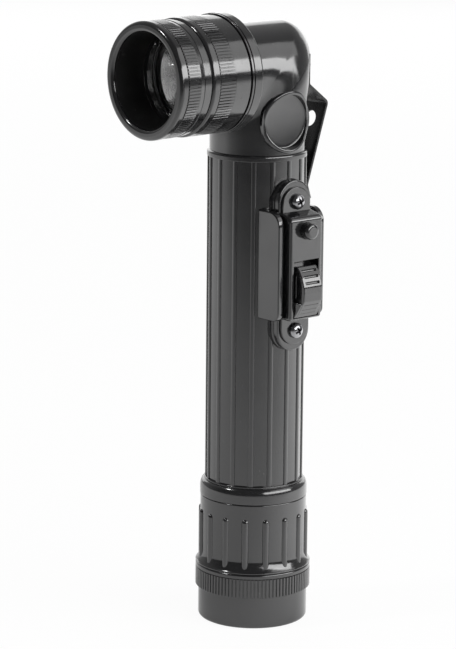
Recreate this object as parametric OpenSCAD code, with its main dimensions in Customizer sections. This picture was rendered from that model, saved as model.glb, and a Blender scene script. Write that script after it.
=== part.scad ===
// Angle-head pocket flashlight for two AA cells.
// Millimetres. The tube stands on the XY plane and its axis is Z. The lamp looks along -Y,
// the switch is on the +X side and the belt clip is on the +Y side.

/* [Base cup] */
// Radius of the base cup's wall
cup_r = 13.35; // [13.25:0.05:13.5]
// Height of the base cup, up to the battery cap
cup_h = 14.0; // [13.6:0.1:15]
// Thickness of the cup's floor
cup_floor_t = 1.6; // [1.2:0.1:1.8]
// Rounding of the cup's bottom edge
cup_edge_r = 0.9; // [0.5:0.1:1.1]
// Height of the knurled ring on the cup
cup_knurl_h = 6.0; // [5:0.1:6.8]
// How far the knurled ring stands out of the cup
cup_knurl_out = 0.9; // [0.7:0.05:1.1]
// Radius of the bore that takes the battery cap's lower spigot
cup_bore_r = 11.68; // [11.55:0.01:11.75]

/* [Battery cap] */
// Radius of the battery cap's wall
cap_r = 13.0; // [12.9:0.05:13.05]
// Height of the battery cap, from cup to tube
cap_h = 17.17; // [17:0.1:18]
// How far the cap's foot flares out of its wall
cap_flare = 1.1; // [0.8:0.05:1.2]
// Height of the concave flare
cap_flare_h = 3.2; // [2.6:0.1:4.5]
// Height of the plain edge below the flare
cap_edge_h = 0.35; // [0.2:0.05:0.5]
// Height of the cap's floor above the seam with the cup
cap_floor_rise = 1.2; // [1:0.1:1.5]
// Thickness of the cap's floor
cap_floor_t = 1.4; // [1.2:0.1:1.6]
// Radius of the well that holds the spring and its contact plate
cap_well_r = 10.0; // [9.9:0.05:10.1]
// Depth of the well under the thread
cap_well_h = 4.4; // [4.2:0.1:4.6]
// Length of the lower spigot that the cup screws on
cap_spigot_h = 5.0; // [4.5:0.1:5.5]
// Wall of the lower spigot
cap_spigot_wall = 1.2; // [1:0.1:1.3]
// Number of grip ribs round the cap
cap_ribs = 16; // [9:1:18]
// Radius of each half-round grip rib
cap_rib_r = 0.9; // [0.7:0.05:1]
// How far the grip ribs stand out of the wall
cap_rib_out = 0.55; // [0.4:0.05:0.65]
// Distance of the ribs' upper ends below the tube
cap_rib_drop = 3.57; // [3.4:0.1:5]
// Height of the rib's lower end above the seam with the cup
cap_rib_rise = 1.6; // [1.5:0.1:2.2]

/* [Battery tube] */
// Distance from the axis to the tube's flats
tube_flat_r = 11.5; // [11.4:0.05:11.6]
// Number of flats, with a fine rib between each two
tube_sides = 16; // [12:2:20]
// Radius at the crests of the fine ribs
tube_rib_r = 11.95; // [11.85:0.05:12.05]
// Width of the fine ribs
tube_rib_w = 1.3; // [1:0.1:1.6]
// How far the upper cell stands out of the tube, up into the elbow
cell_in_elbow = 4.5; // [4.2:0.1:5]
// Radius of the tube's bore
tube_bore_r = 9.7; // [9.65:0.05:9.8]
// Radius of the collar at the tube's foot
collar_r = 13.1; // [13.05:0.05:13.2]
// Height of the collar
collar_h = 4.25; // [4:0.1:4.6]
// Width of the collar's rounded shoulder
collar_edge_r = 1.2; // [0.9:0.1:1.3]
// Height of the collar's rounded shoulder
collar_shoulder_h = 2.2; // [1.8:0.1:2.8]
// Radius of the rim at the tube's top
rim_r = 12.05; // [11.95:0.05:12.15]
// Height of the rim
rim_h = 1.5; // [1.4:0.1:1.8]
// Clearance between the foot of the tube's spigot and the cap's ledge
spigot_end_gap = 0.5; // [0.4:0.1:0.7]
// Radius of the spigot that the battery cap screws on
tube_spigot_r = 11.2; // [11.15:0.01:11.2]
// Radius at the inner edges of the ribs that guide the cells
guide_r = 7.55; // [7.5:0.05:7.7]
// Width of the guide ribs
guide_w = 1.6; // [1.2:0.1:2]

/* [Elbow] */
// Radius of the elbow's neck, where it meets the tube
neck_r = 11.45; // [11.4:0.05:11.6]
// Radius of the elbow's upright part at its bend
bend_r = 12.3; // [12.2:0.05:12.4]
// Radius of the elbow's level part
level_r = 11.35; // [11.2:0.05:11.5]
// Height of the lamp's axis above the tube
head_rise = 19.2; // [19:0.1:20]
// Bend radius along the elbow's back
bend_back_r = 6.0; // [5:0.1:6.5]
// Bend radius along the elbow's front, under the flange
bend_front_r = 2.0; // [1.5:0.1:2.5]
// Radius of the cavity over the cells
cavity_r = 8.0; // [7.8:0.05:8.1]
// Height of that cavity above the tube
cavity_h = 10.5; // [10:0.1:11]
// Length of the elbow's spigot in the tube
elbow_spigot_h = 7.5; // [6:0.1:7.8]
// Radius of the round side pad at its foot
pad_r = 7.5; // [7.3:0.1:7.7]
// Width of the side pad's rim
pad_rim_w = 1.0; // [0.8:0.1:1.2]
// How far the rim stands out of the elbow
pad_rim_out = 0.4; // [0.3:0.05:0.5]
// Height of the side pad's centre above the tube
pad_rise = 7.8; // [7.7:0.1:8.0]
// Distance from the tube's axis to the side pad's flat face
pad_face_x = 10.2; // [10.15:0.05:10.4]

/* [Flange and head thread] */
// Distance from the tube's axis to the flange's front face
flange_front = 14.1; // [14:0.1:14.3]
// Thickness of the flange
flange_t = 3.7; // [3.6:0.1:3.9]
// Radius of the flange
flange_r = 14.3; // [14.25:0.05:14.4]
// Radius of the threaded spigot that the lens ring screws on
head_spigot_r = 12.4; // [12.35:0.01:12.4]
// Length of the threaded spigot
head_spigot_h = 5.9; // [5.8:0.1:6]
// Wall of the threaded spigot
head_spigot_wall = 1.2; // [1.1:0.05:1.2]
// Radius of the cavity behind the reflector
reflector_well_r = 9.6; // [9.5:0.05:9.8]

/* [Lens ring] */
// Length of the lens ring along the lamp's axis
ring_len = 11.6; // [11.5:0.1:11.9]
// Radius of the lens ring at its knurl
ring_knurl_r = 14.2; // [14.15:0.05:14.25]
// Radius of the plain band behind the knurl
ring_band_r = 14.0; // [13.9:0.05:14.05]
// Radius of the band where it meets the flange
ring_back_r = 13.7; // [13.6:0.05:13.8]
// Radius of the smooth rim in front of the knurl
ring_rim_r = 14.05; // [14:0.05:14.1]
// Length of the plain band behind the knurl
ring_band_len = 4.8; // [4.5:0.1:5]
// Length of the knurl
ring_knurl_len = 4.6; // [4.2:0.1:4.8]
// Thickness of the lip that holds the lens
ring_lip_t = 0.8; // [0.7:0.05:0.85]
// Inner radius of that lip
ring_lip_r = 10.9; // [10.8:0.05:11]
// Radius of the socket that the hood screws into
ring_socket_r = 12.7; // [12.7:0.01:12.75]
// Depth of that socket
ring_socket_h = 2.4; // [2.4:0.05:2.5]

/* [Hood] */
// Length of the hood in front of the lens ring
hood_len = 9.5; // [9:0.1:10]
// Radius of the hood's front lip
hood_lip_r = 13.95; // [13.9:0.05:14]
// Length of the front lip
hood_lip_len = 2.1; // [1.9:0.1:2.3]
// Rounding of the front lip
hood_lip_edge = 0.9; // [0.7:0.05:1]
// Radius of the fine groove behind the lip
hood_groove_r = 13.6; // [13.5:0.05:13.7]
// Width of the fine groove
hood_groove_w = 0.3; // [0.2:0.05:0.4]
// Radius of the hood's knurl
hood_knurl_r = 14.25; // [14.2:0.05:14.3]
// Length of the hood's knurl
hood_knurl_len = 3.4; // [3.2:0.1:3.6]
// Radius of the plain band behind the knurl
hood_band_r = 13.75; // [13.7:0.05:13.8]
// Radius of the hood's bore
hood_bore_r = 11.4; // [11.3:0.05:11.5]
// Radius of the hood's spigot
hood_spigot_r = 12.62; // [12.6:0.01:12.65]
// Inner radius of the hood's spigot
hood_spigot_bore_r = 11.0; // [10.95:0.05:11.05]
// Length of the hood's spigot
hood_spigot_h = 2.2; // [2.1:0.05:2.25]

/* [Knurling] */
// Number of teeth on each knurled ring
knurl_teeth = 96; // [72:4:120]
// Depth of the knurling
knurl_depth = 0.35; // [0.2:0.05:0.4]

/* [Lamp and optics] */
// Radius of the lens and of what is stacked behind it
lens_r = 12.2; // [12.1:0.05:12.3]
// Thickness of the lens
lens_t = 1.2; // [1.1:0.05:1.25]
// Thickness of the lens gasket
gasket_t = 0.6; // [0.5:0.05:0.65]
// Thickness of the reflector's flange
reflector_flange_t = 0.8; // [0.7:0.05:0.8]
// Radius of the bowl at its rim
reflector_rim_r = 10.4; // [10.2:0.05:10.5]
// Depth of the bowl, from its rim to its vertex
reflector_depth = 9.4; // [9.2:0.1:9.4]
// Wall of the bowl
reflector_wall = 0.9; // [0.7:0.05:0.9]
// Radius of the hole in the bowl for the lamp
reflector_neck_r = 3.0; // [2.8:0.05:3.1]
// Radius of the lamp's clear dome
bulb_r = 2.45; // [2.3:0.05:2.5]
// Length of the lamp's clear part
bulb_len = 4.6; // [4.2:0.1:4.8]
// Radius of the lamp's metal base
bulb_base_r = 4.2; // [4:0.05:4.2]
// Radius of the base's flange
bulb_flange_r = 4.7; // [4.6:0.05:4.9]
// Thickness of the base's flange
bulb_flange_t = 0.6; // [0.5:0.05:0.7]
// Length of the lamp's base behind its flange
bulb_base_len = 13.3; // [13:0.1:13.5]
// Radius of the base's centre contact
bulb_tip_r = 1.4; // [1.2:0.05:1.5]
// Outer radius of the lamp socket
socket_r = 6.5; // [6.3:0.05:6.6]
// Distance from the tube's axis to the socket's front face
socket_front = 10.4; // [10.2:0.05:10.4]
// Thickness of the insulating disc behind the socket
insulator_t = 1.2; // [1:0.1:1.3]

/* [Cells and contacts] */
// Radius of an AA cell
cell_r = 7.25; // [7:0.05:7.25]
// Length of an AA cell with its button
cell_len = 50.5; // [49.9:0.1:50.5]
// Radius of the cell's button
cell_button_r = 2.75; // [2.6:0.05:2.8]
// Height of the cell's button
cell_button_h = 1.0; // [1:0.05:1.2]
// Height of the tail spring under the cells' load
spring_h = 3.1; // [3:0.05:3.2]
// Radius of the spring's wire
spring_wire_r = 0.3; // [0.25:0.01:0.32]
// Radius of the spring's lowest turn
spring_base_r = 5.5; // [5.2:0.1:5.8]
// Radius of the spring's top turn
spring_top_r = 3.0; // [2.8:0.1:3.2]
// Number of turns of the spring
spring_turns = 3; // [3:1:4]
// Thickness of the brass strips
strip_t = 0.4; // [0.3:0.05:0.4]
// Width of the brass strips
strip_w = 4.0; // [3.5:0.1:4]
// Distance from the axis to the brass strips' outer face
strip_x = 9.2; // [9.1:0.05:9.2]
// Thickness of the leaf spring under the signal button
leaf_t = 0.3; // [0.2:0.05:0.3]
// Width of the leaf spring
leaf_w = 3.0; // [2.4:0.1:3]

/* [Switch group] */
// Distance of the upper switch screw below the tube's top
screw_top_drop = 10.9; // [10.4:0.1:11.5]
// Distance between the two switch screws
screw_pitch = 31.3; // [31:0.1:31.6]
// Radius of the screws' shanks
screw_r = 1.2; // [1.1:0.05:1.25]
// Radius of the screws' heads
screw_head_r = 1.9; // [1.8:0.05:2]
// Height of the screws' heads
screw_head_h = 1.6; // [1.3:0.1:1.7]
// How far the flat seat stands out of the tube's fine ribs
seat_out = 0.45; // [0.35:0.05:0.55]
// Half width of the flat seat on the tube
seat_half_w = 5.2; // [5:0.05:5.2]
// Thickness of the guard's base plate
guard_t = 1.4; // [1.3:0.1:1.5]
// Radius of the guard's ears
guard_ear_r = 5.1; // [5:0.05:5.2]
// Inner half width between the guard's fences
fence_inner = 5.65; // [5.55:0.05:5.75]
// Thickness of each fence
fence_t = 1.9; // [1.7:0.1:2]
// Height of the fences along the tube
fence_len = 26.3; // [26:0.1:27]
// Height of the fences' lower end above the lower screw
fence_rise = 3.1; // [3:0.1:3.3]
// How far the fences stand out of the guard's base plate
fence_out = 2.3; // [2:0.1:2.6]
// Rounding of the fences' upper corner
fence_top_r = 3.5; // [2.5:0.1:3.8]
// Rounding of the fences' lower corner
fence_low_r = 2.0; // [1.5:0.1:2.5]
// Half width of the switch cover
cover_half_w = 5.0; // [4.9:0.05:5.1]
// Radius of the cover's rounded ears
cover_ear_r = 4.4; // [4.3:0.05:4.5]
// Sheet thickness of the cover
cover_t = 0.7; // [0.6:0.05:0.7]
// Thickness of the cover's ears
cover_ear_t = 0.6; // [0.5:0.05:0.7]
// How far the cover's box stands out of the guard's base plate
cover_out = 4.3; // [4.2:0.05:4.5]
// Height of the cover's box
cover_len = 24.8; // [24.5:0.1:25]
// Height of the box's lower end above the lower screw
cover_rise = 3.3; // [3.2:0.1:3.4]
// Slope of the box's upper shelf
cover_slope = 1.0; // [0.8:0.1:1.1]
// Rounding of the cover's edges
cover_edge_r = 0.8; // [0.6:0.05:0.9]
// Distance from each screw to the centre of the cover's rounded ear
cover_ear_inset = 0.9; // [0.7:0.1:1.1]

/* [Knob and button] */
// Half width of the slide knob
knob_half_w = 3.1; // [3:0.05:3.1]
// Length of the slide knob
knob_len = 12.4; // [12.2:0.1:12.5]
// Half width of the knob's flared foot
knob_foot_half_w = 3.85; // [3.7:0.05:3.9]
// Height of the knob's crown above the cover's inner face
knob_rise = 3.35; // [3:0.05:3.5]
// Travel of the slide knob
knob_travel = 1.3; // [1.1:0.05:1.4]
// Height of the knob's lower end above the cover's lower end
knob_low_rise = 0.6; // [0.5:0.05:0.7]
// Radius of the signal button
button_r = 2.0; // [1.9:0.05:2.1]
// Rounding of the button's face
button_edge_r = 0.85; // [0.5:0.05:0.9]
// How far the button stands out of the cover
button_out = 2.4; // [2:0.1:2.6]
// Travel of the button
button_travel = 1.0; // [0.8:0.1:1]
// Height of the button above the cover's lower end
button_rise = 21.5; // [21.4:0.05:21.6]
// Radius of the button's inner flange
button_flange_r = 2.4; // [2.3:0.05:2.45]
// Thickness of the button's inner flange
button_flange_t = 1.0; // [0.8:0.05:1.1]
// Radius of the button's stem
button_stem_r = 0.9; // [0.8:0.05:1]

/* [Belt clip] */
// Width of the clip's sheet
clip_w = 9.0; // [8.6:0.1:9.2]
// Thickness of the clip's sheet
clip_t = 0.65; // [0.55:0.05:0.7]
// Height of the clip's upper end above the tube
clip_top_rise = 22.3; // [21.8:0.1:22.4]
// Distance from the axis to the clip's flat seat on the elbow
clip_seat_y = 12.2; // [12.15:0.05:12.3]
// Length of the clip that lies on the seat
clip_seat_len = 7.5; // [7:0.1:7.6]
// How far the clip's knee stands out of its seat
clip_knee_out = 6.1; // [5.9:0.1:6.3]
// Drop of the knee below the seat
clip_knee_drop = 4.7; // [4.5:0.1:4.9]
// Height of the clip's slanted leg
clip_leg_h = 19.8; // [19.5:0.1:20]
// How far the clip's lower end flares out again
clip_flare_out = 1.1; // [0.9:0.1:1.4]
// Height of that flare
clip_flare_h = 3.3; // [3:0.1:3.5]
// Bend radius of the clip at its middle line
clip_bend_r = 1.0; // [0.8:0.1:1.2]
// Radius of the clip's hanging hole
clip_hole_r = 1.95; // [1.8:0.05:2]
// Drop of the hanging hole below the knee, along the leg
clip_hole_drop = 4.6; // [4.4:0.1:5]
// Radius of the clip's rivet shanks
rivet_r = 0.75; // [0.7:0.05:0.8]
// Radius of the rivet heads
rivet_head_r = 1.1; // [1:0.05:1.2]
// Height of the rivet heads
rivet_head_h = 0.45; // [0.35:0.05:0.5]
// Distance of each rivet from the clip's middle
rivet_x = 3.25; // [3:0.05:3.3]
// Distance of the rivets below the clip's upper end
rivet_drop = 2.7; // [2.5:0.1:3]

/* [Filters and seals] */
// Radius of a spare filter
filter_r = 11.3; // [11.1:0.05:11.4]
// Thickness of a spare filter
filter_t = 1.2; // [1:0.05:1.2]
// Section radius of the cap's rubber ring
cap_seal_section = 0.34; // [0.3:0.01:0.34]
// Section radius of the cup's rubber ring
cup_seal_section = 0.32; // [0.28:0.01:0.32]
// Section radius of the hood's rubber ring
hood_seal_section = 0.38; // [0.34:0.01:0.38]
// Width of the flat seal in the flange
head_seal_w = 0.7; // [0.6:0.05:0.75]
// Depth of its groove in the flange
head_seal_depth = 0.6; // [0.5:0.05:0.7]

/* [Clearances] */
// Radial clearance of a screwed or turning fit
thread_gap = 0.05; // [0.03:0.01:0.06]
// Clearance between pieces that rest against each other without a fit
rest_gap = 0.1; // [0.05:0.01:0.1]
// Clearance of a contact that only touches
touch_gap = 0.05; // [0.03:0.01:0.06]
// Overrun of every cut
cut_over = 0.5; // [0.3:0.1:0.6]

/* [Hidden] */
$fn = 64;

// Heights along the tube
cap_z = cup_h;
tube_z = cap_z + cap_h;
cap_floor_z = cap_z + cap_floor_rise + cap_floor_t;
tube_spigot_h = tube_z - cap_floor_z - cap_well_h - spigot_end_gap;
plate_t = 3 * strip_t / 4;
cell_low_z = cap_floor_z + plate_t + spring_h;
cell_top_z = cell_low_z + 2 * cell_len;
neck_z = cell_top_z - cell_in_elbow;
tube_h = neck_z - tube_z;
head_z = neck_z + head_rise;
screw_top_z = neck_z - screw_top_drop;
screw_low_z = screw_top_z - screw_pitch;
seat_x = tube_rib_r + seat_out;

// Distances along the lamp's axis
flange_back = flange_front - flange_t;
spigot_front = flange_front + head_spigot_h;
ring_gap = 2 * rest_gap;
ring_back = flange_front + ring_gap;
ring_front = ring_back + ring_len;
lip_front = ring_front - ring_socket_h;
lens_front = lip_front - ring_lip_t;
hood_front = ring_front + hood_len;

// Colours
black_plastic = [0.09, 0.09, 0.10];
knob_plastic = [0.12, 0.12, 0.13];
clip_metal = [0.16, 0.16, 0.17];
steel = [0.62, 0.63, 0.65];
brass = [0.78, 0.62, 0.30];
rubber = [0.05, 0.05, 0.05];
silver = [0.86, 0.87, 0.88];
clear = [0.85, 0.90, 0.95, 0.4];

// Points of an arc about [u, v], in equal steps
function arc(u, v, r, from, to, steps = 6) =
  [for (i = [0:steps]) let (a = from + (to - from) * i / steps) [u + r * cos(a), v + r * sin(a)]];

// Unit vector from one point to another
function heading(p, q) = (q - p) / norm(q - p);

// Points of a bent middle line, with each inner corner rounded by the radius
function bent(path, r, steps = 4) = [
  for (i = [0:len(path) - 1])
    if (i == 0 || i == len(path) - 1) path[i]
    else
      let (
        before = heading(path[i], path[i - 1]),
        after = heading(path[i], path[i + 1]),
        half = acos(before * after) / 2,
        middle = path[i] + (before + after) / norm(before + after) * r / sin(half),
        start = path[i] + before * r / tan(half) - middle,
        turn = (start[0] * after[1] - start[1] * after[0] > 0 ? 1 : -1) * (180 - 2 * half)
      )
      each [
        for (k = [0:steps])
          let (a = turn * k / steps)
          middle + [start[0] * cos(a) - start[1] * sin(a), start[0] * sin(a) + start[1] * cos(a)]
      ]
];

// Sideways direction of a line at its point i
function sideways(line, i) =
  let (
    p = line[max(i - 1, 0)],
    q = line[min(i + 1, len(line) - 1)],
    d = heading(p, q)
  )
  [-d[1], d[0]];

// Outline of a strip of even thickness along a middle line
function strip_outline(line, t) = concat(
  [for (i = [0:len(line) - 1]) line[i] + sideways(line, i) * t / 2],
  [for (i = [len(line) - 1:-1:0]) line[i] - sideways(line, i) * t / 2]
);

// Places what is drawn about Z on the lamp's axis, with Z forward
module on_head() {
  translate([0, 0, head_z]) rotate([90, 0, 0]) children();
}

// Turns what is drawn about Z so that it points along +X at the given height
module along_x(z) {
  translate([0, 0, z]) rotate([0, 90, 0]) children();
}

// Extrudes a side view, drawn as x and z, evenly to both sides
module side_view(half_w) {
  rotate([90, 0, 0]) linear_extrude(height = 2 * half_w, center = true) children();
}

// Extrudes an end view, drawn as y and z, evenly to both sides
module end_view(half_w) {
  rotate([90, 0, 90]) linear_extrude(height = 2 * half_w, center = true) children();
}

// A box between two corners
module block(low, high) {
  translate(low) cube(high - low);
}

// A ring with straight knurls, open inside
module knurled_ring(r, inner_r, z0, h) {
  step = 180 / knurl_teeth;
  translate([0, 0, z0])
  difference() {
    linear_extrude(height = h)
      polygon([
        for (k = [0:2 * knurl_teeth - 1])
          let (rk = k % 2 == 0 ? r : r - knurl_depth)
          [rk * cos(k * step), rk * sin(k * step)]
      ]);
    translate([0, 0, -cut_over]) cylinder(r = inner_r, h = h + 2 * cut_over);
  }
}

// A rubber ring of round section
module rubber_ring(r, section, z) {
  color(rubber) translate([0, 0, z]) rotate_extrude() translate([r, 0]) circle(r = section, $fn = 24);
}

// Base cup
cup_seal_groove_h = 2 * cup_seal_section + 2 * rest_gap;
cup_seal_groove_r = cup_bore_r + 2 * cup_seal_section + thread_gap;
cup_seal_top = cup_h - cap_edge_h - 2 * touch_gap;
cup_seal_low = cup_seal_top - cup_seal_groove_h;

module base_cup() {
  color(black_plastic) {
    rotate_extrude()
      polygon(concat(
        [[0, 0]],
        arc(cup_r - cup_edge_r, cup_edge_r, cup_edge_r, -90, 0),
        [
          [cup_r, cup_h],
          [cup_bore_r, cup_h],
          [cup_bore_r, cup_seal_top],
          [cup_seal_groove_r, cup_seal_top],
          [cup_seal_groove_r, cup_seal_low],
          [cup_bore_r, cup_seal_low],
          [cup_bore_r, cup_floor_t],
          [0, cup_floor_t]
        ]
      ));
    knurled_ring(cup_r + cup_knurl_out, cup_r - cup_knurl_out / 4, cup_h - cup_knurl_h, cup_knurl_h);
  }
}

module cup_seal() {
  ring_r = cup_bore_r + cup_seal_section;
  rubber_ring(ring_r, cup_seal_section, (cup_seal_top + cup_seal_low) / 2);
}

// The four spare filters lie in a stack on the cup's floor
module filter_disc(place, tint) {
  z = cup_floor_t + touch_gap + place * (filter_t + touch_gap);
  color(tint) translate([0, 0, z]) cylinder(r = filter_r, h = filter_t);
}

module filter_red() {
  filter_disc(0, [0.75, 0.08, 0.08, 0.7]);
}

module filter_amber() {
  filter_disc(1, [0.90, 0.55, 0.10, 0.7]);
}

module filter_blue() {
  filter_disc(2, [0.10, 0.25, 0.75, 0.7]);
}

module filter_clear() {
  filter_disc(3, [0.92, 0.93, 0.94, 0.8]);
}

// Battery cap
cap_bore_r = tube_spigot_r + thread_gap;
cap_spigot_r = cup_bore_r - thread_gap - touch_gap / 2;
cap_spigot_low = cap_z + cap_floor_rise - cap_spigot_h;
cap_seal_groove_h = 2 * cap_seal_section + 2 * rest_gap;
cap_seal_groove_r = cap_bore_r + 2 * cap_seal_section + touch_gap / 2;
cap_seal_top = tube_z - 2 * cap_edge_h;
cap_seal_low = cap_seal_top - cap_seal_groove_h;
cap_rib_len = cap_h - cap_rib_rise - cap_rib_drop;

// Profile of a grip rib about its own axis, round below and drawn out above
function rib_profile(r, length) = concat(
  [[0, 0]],
  arc(0, r, r, -90 + 15, 0, 4),
  [for (i = [0:5]) let (a = 90 * i / 5) [r * cos(a), length - 2 * r + 2 * r * sin(a)]]
);

module battery_cap() {
  color(black_plastic) {
    rotate_extrude()
      polygon(concat(
        [[cap_spigot_r, cap_z], [cap_r + cap_flare, cap_z]],
        [
          for (i = [0:8])
            let (a = 90 * i / 8)
            [
              cap_r + cap_flare * (1 - sin(a)),
              cap_z + cap_edge_h + cap_flare_h * (1 - cos(a))
            ]
        ],
        [
          [cap_r, tube_z],
          [cap_bore_r, tube_z],
          [cap_bore_r, cap_seal_top],
          [cap_seal_groove_r, cap_seal_top],
          [cap_seal_groove_r, cap_seal_low],
          [cap_bore_r, cap_seal_low],
          [cap_bore_r, cap_floor_z + cap_well_h],
          [cap_well_r, cap_floor_z + cap_well_h],
          [cap_well_r, cap_floor_z],
          [0, cap_floor_z],
          [0, cap_floor_z - cap_floor_t],
          [cap_spigot_r - cap_spigot_wall, cap_floor_z - cap_floor_t],
          [cap_spigot_r - cap_spigot_wall, cap_spigot_low],
          [cap_spigot_r, cap_spigot_low]
        ]
      ));
    for (k = [0:cap_ribs - 1])
      rotate([0, 0, 360 * (k + 0.78) / cap_ribs])
        translate([cap_r + cap_rib_out - cap_rib_r, 0, cap_z + cap_rib_rise])
          rotate_extrude($fn = 24) polygon(rib_profile(cap_rib_r, cap_rib_len));
  }
}

module cap_seal() {
  rubber_ring(cap_bore_r + cap_seal_section, cap_seal_section, (cap_seal_top + cap_seal_low) / 2);
}

// Brass plate under the tail spring
module cap_contact() {
  color(brass)
    translate([0, 0, cap_floor_z])
      cylinder(r = cap_well_r - strip_t, h = plate_t);
}

// Conical spring of round wire, as one unbroken tube of six sides
spring_rings = 12;
spring_sides = 6;

function spring_point(share, around) =
  let (
    turn = 360 * spring_turns * share,
    low = cap_floor_z + plate_t + spring_wire_r,
    r = spring_base_r + (spring_top_r - spring_base_r) * share + spring_wire_r * cos(around),
    z = low + (spring_h - 2 * spring_wire_r) * share + spring_wire_r * sin(around)
  )
  [r * cos(turn), r * sin(turn), z];

module tail_spring() {
  rings = spring_turns * spring_rings;
  points = [
    for (i = [0:rings], j = [0:spring_sides - 1])
      spring_point(i / rings, 360 * (j + 0.5) / spring_sides)
  ];
  walls = [
    for (i = [0:rings - 1], j = [0:spring_sides - 1])
      let (
        a = i * spring_sides + j,
        b = i * spring_sides + (j + 1) % spring_sides
      )
      each [[a, a + spring_sides, b], [b, a + spring_sides, b + spring_sides]]
  ];
  first = [for (j = [1:spring_sides - 2]) [0, j, j + 1]];
  base = rings * spring_sides;
  last = [for (j = [1:spring_sides - 2]) [base, base + j + 1, base + j]];
  color(steel) polyhedron(points, concat(walls, first, last));
}

// Cells
module cell(z, band) {
  edge = cell_button_h / 2;
  body = cell_len - cell_button_h;
  color(band)
    translate([0, 0, z])
      rotate_extrude()
        polygon(concat(
          [[0, 0]],
          arc(cell_r - edge, edge, edge, -90, 0, 3),
          arc(cell_r - edge, body - edge, edge, 0, 90, 3),
          [
            [cell_button_r, body],
            [cell_button_r, cell_len],
            [0, cell_len]
          ]
        ));
}

module battery_lower() {
  cell(cell_low_z, [0.55, 0.56, 0.58]);
}

module battery_upper() {
  cell(cell_low_z + cell_len, [0.60, 0.61, 0.63]);
}

// Battery tube
collar_top = tube_z + collar_h;
rim_low = neck_z - rim_h;
side_turn = 360 / tube_sides;
window_half_w = seat_half_w / 2 - touch_gap * 2;
window_low_z = screw_low_z + fence_rise + 2 * cover_t + strip_t * 3;
window_top_z = screw_top_z - screw_head_r - cover_rise * 0.8;
screw_hole_r = screw_r + touch_gap;
screw_end_x = tube_bore_r + cover_t;

// One fine rib of the tube and the ends of the flats beside it
function tube_rib(k) =
  let (
    a = side_turn * k,
    half = side_turn / 2,
    w = tube_rib_w / 2,
    foot = (tube_flat_r - w * sin(half)) / cos(half),
    slant = tube_rib_w / 8
  )
  [
    for (p = [[foot, -w], [tube_rib_r, slant - w], [tube_rib_r, w - slant], [foot, w]])
      [p[0] * cos(a) - p[1] * sin(a), p[0] * sin(a) + p[1] * cos(a)]
  ];

module tube_collar() {
  bead_r = collar_edge_r / 4;
  rotate_extrude()
    polygon(concat(
      [[tube_bore_r - cut_over, tube_z], [collar_r, tube_z]],
      [
        for (i = [0:8])
          let (a = 80 * i / 8)
          [
            collar_r - collar_edge_r * (1 - cos(a)),
            collar_top - collar_shoulder_h * (1 - sin(a))
          ]
      ],
      arc(collar_r - collar_edge_r, collar_top + bead_r, bead_r, 0, 90, 3),
      [[tube_bore_r - cut_over, collar_top + 2 * bead_r]]
    ));
}

module tube_rim() {
  edge = rim_r - neck_r;
  rotate_extrude()
    polygon(concat(
      [[tube_bore_r - cut_over, rim_low], [rim_r, rim_low]],
      arc(rim_r - edge, neck_z - edge, edge, 0, 90, 4),
      [[tube_bore_r - cut_over, neck_z]]
    ));
}

// Spigot with shallow grooves where its thread is cut
module tube_spigot() {
  pitch = tube_spigot_h / 6;
  difference() {
    translate([0, 0, tube_z - tube_spigot_h])
      cylinder(r = tube_spigot_r, h = tube_spigot_h + collar_h / 2);
    for (k = [1:4])
      translate([0, 0, tube_z - tube_spigot_h + k * pitch - pitch / 4])
        difference() {
          cylinder(r = tube_spigot_r + cut_over, h = pitch / 3);
          cylinder(r = tube_spigot_r - leaf_t, h = pitch / 3);
        }
  }
}

module switch_seat() {
  intersection() {
    union() {
      for (z = [screw_low_z, screw_top_z])
        along_x(z) cylinder(r = seat_half_w, h = seat_x);
      block([0, -seat_half_w, screw_low_z], [seat_x, seat_half_w, screw_top_z]);
    }
    block([tube_bore_r - cut_over, -cap_r, tube_z], [seat_x, cap_r, neck_z]);
  }
}

module battery_tube() {
  color(black_plastic) {
    difference() {
      union() {
        translate([0, 0, collar_top - cut_over])
          linear_extrude(height = rim_low - collar_top + 2 * cut_over)
            polygon([for (k = [0:tube_sides - 1]) each tube_rib(k)]);
        tube_collar();
        tube_rim();
        tube_spigot();
        switch_seat();
      }
      translate([0, 0, tube_z - tube_spigot_h - cut_over])
        cylinder(r = tube_bore_r, h = tube_spigot_h + tube_h + 2 * cut_over);
      block(
        [cell_r, -window_half_w, window_low_z],
        [seat_x + cut_over, window_half_w, window_top_z]
      );
      for (z = [screw_low_z, screw_top_z])
        along_x(z) translate([0, 0, screw_end_x - touch_gap * 2])
          cylinder(r = screw_hole_r, h = seat_x - tube_bore_r);
    }
    for (a = [45:90:315])
      rotate([0, 0, a])
        block(
          [guide_r, -guide_w / 2, tube_z - tube_spigot_h + cut_over],
          [tube_bore_r + cut_over, guide_w / 2, neck_z - elbow_spigot_h - 2 * cut_over]
        );
  }
}

// Elbow. Each fibre of the skin runs up the neck, round the bend and forward into the flange.
skin_fibres = 48;
bend_steps = 8;
skin_end = flange_front - cut_over;

function bend_of(t) = (bend_back_r + bend_front_r) / 2 + (bend_back_r - bend_front_r) / 2 * cos(t);

function skin_point(ring, t) =
  let (
    r = bend_of(t),
    turn_z = head_z + level_r * cos(t) - r,
    a = 90 * (ring - 1) / bend_steps,
    mix = (ring - 1) / bend_steps
  )
  ring == 0
  ? [neck_r * sin(t), neck_r * cos(t), neck_z]
  : ring > bend_steps + 1
  ? [level_r * sin(t), -skin_end, head_z + level_r * cos(t)]
  : [
      (bend_r + (level_r - bend_r) * mix) * sin(t),
      max(bend_r * cos(t) - r + r * cos(a), -skin_end),
      turn_z + r * sin(a)
    ];

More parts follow.
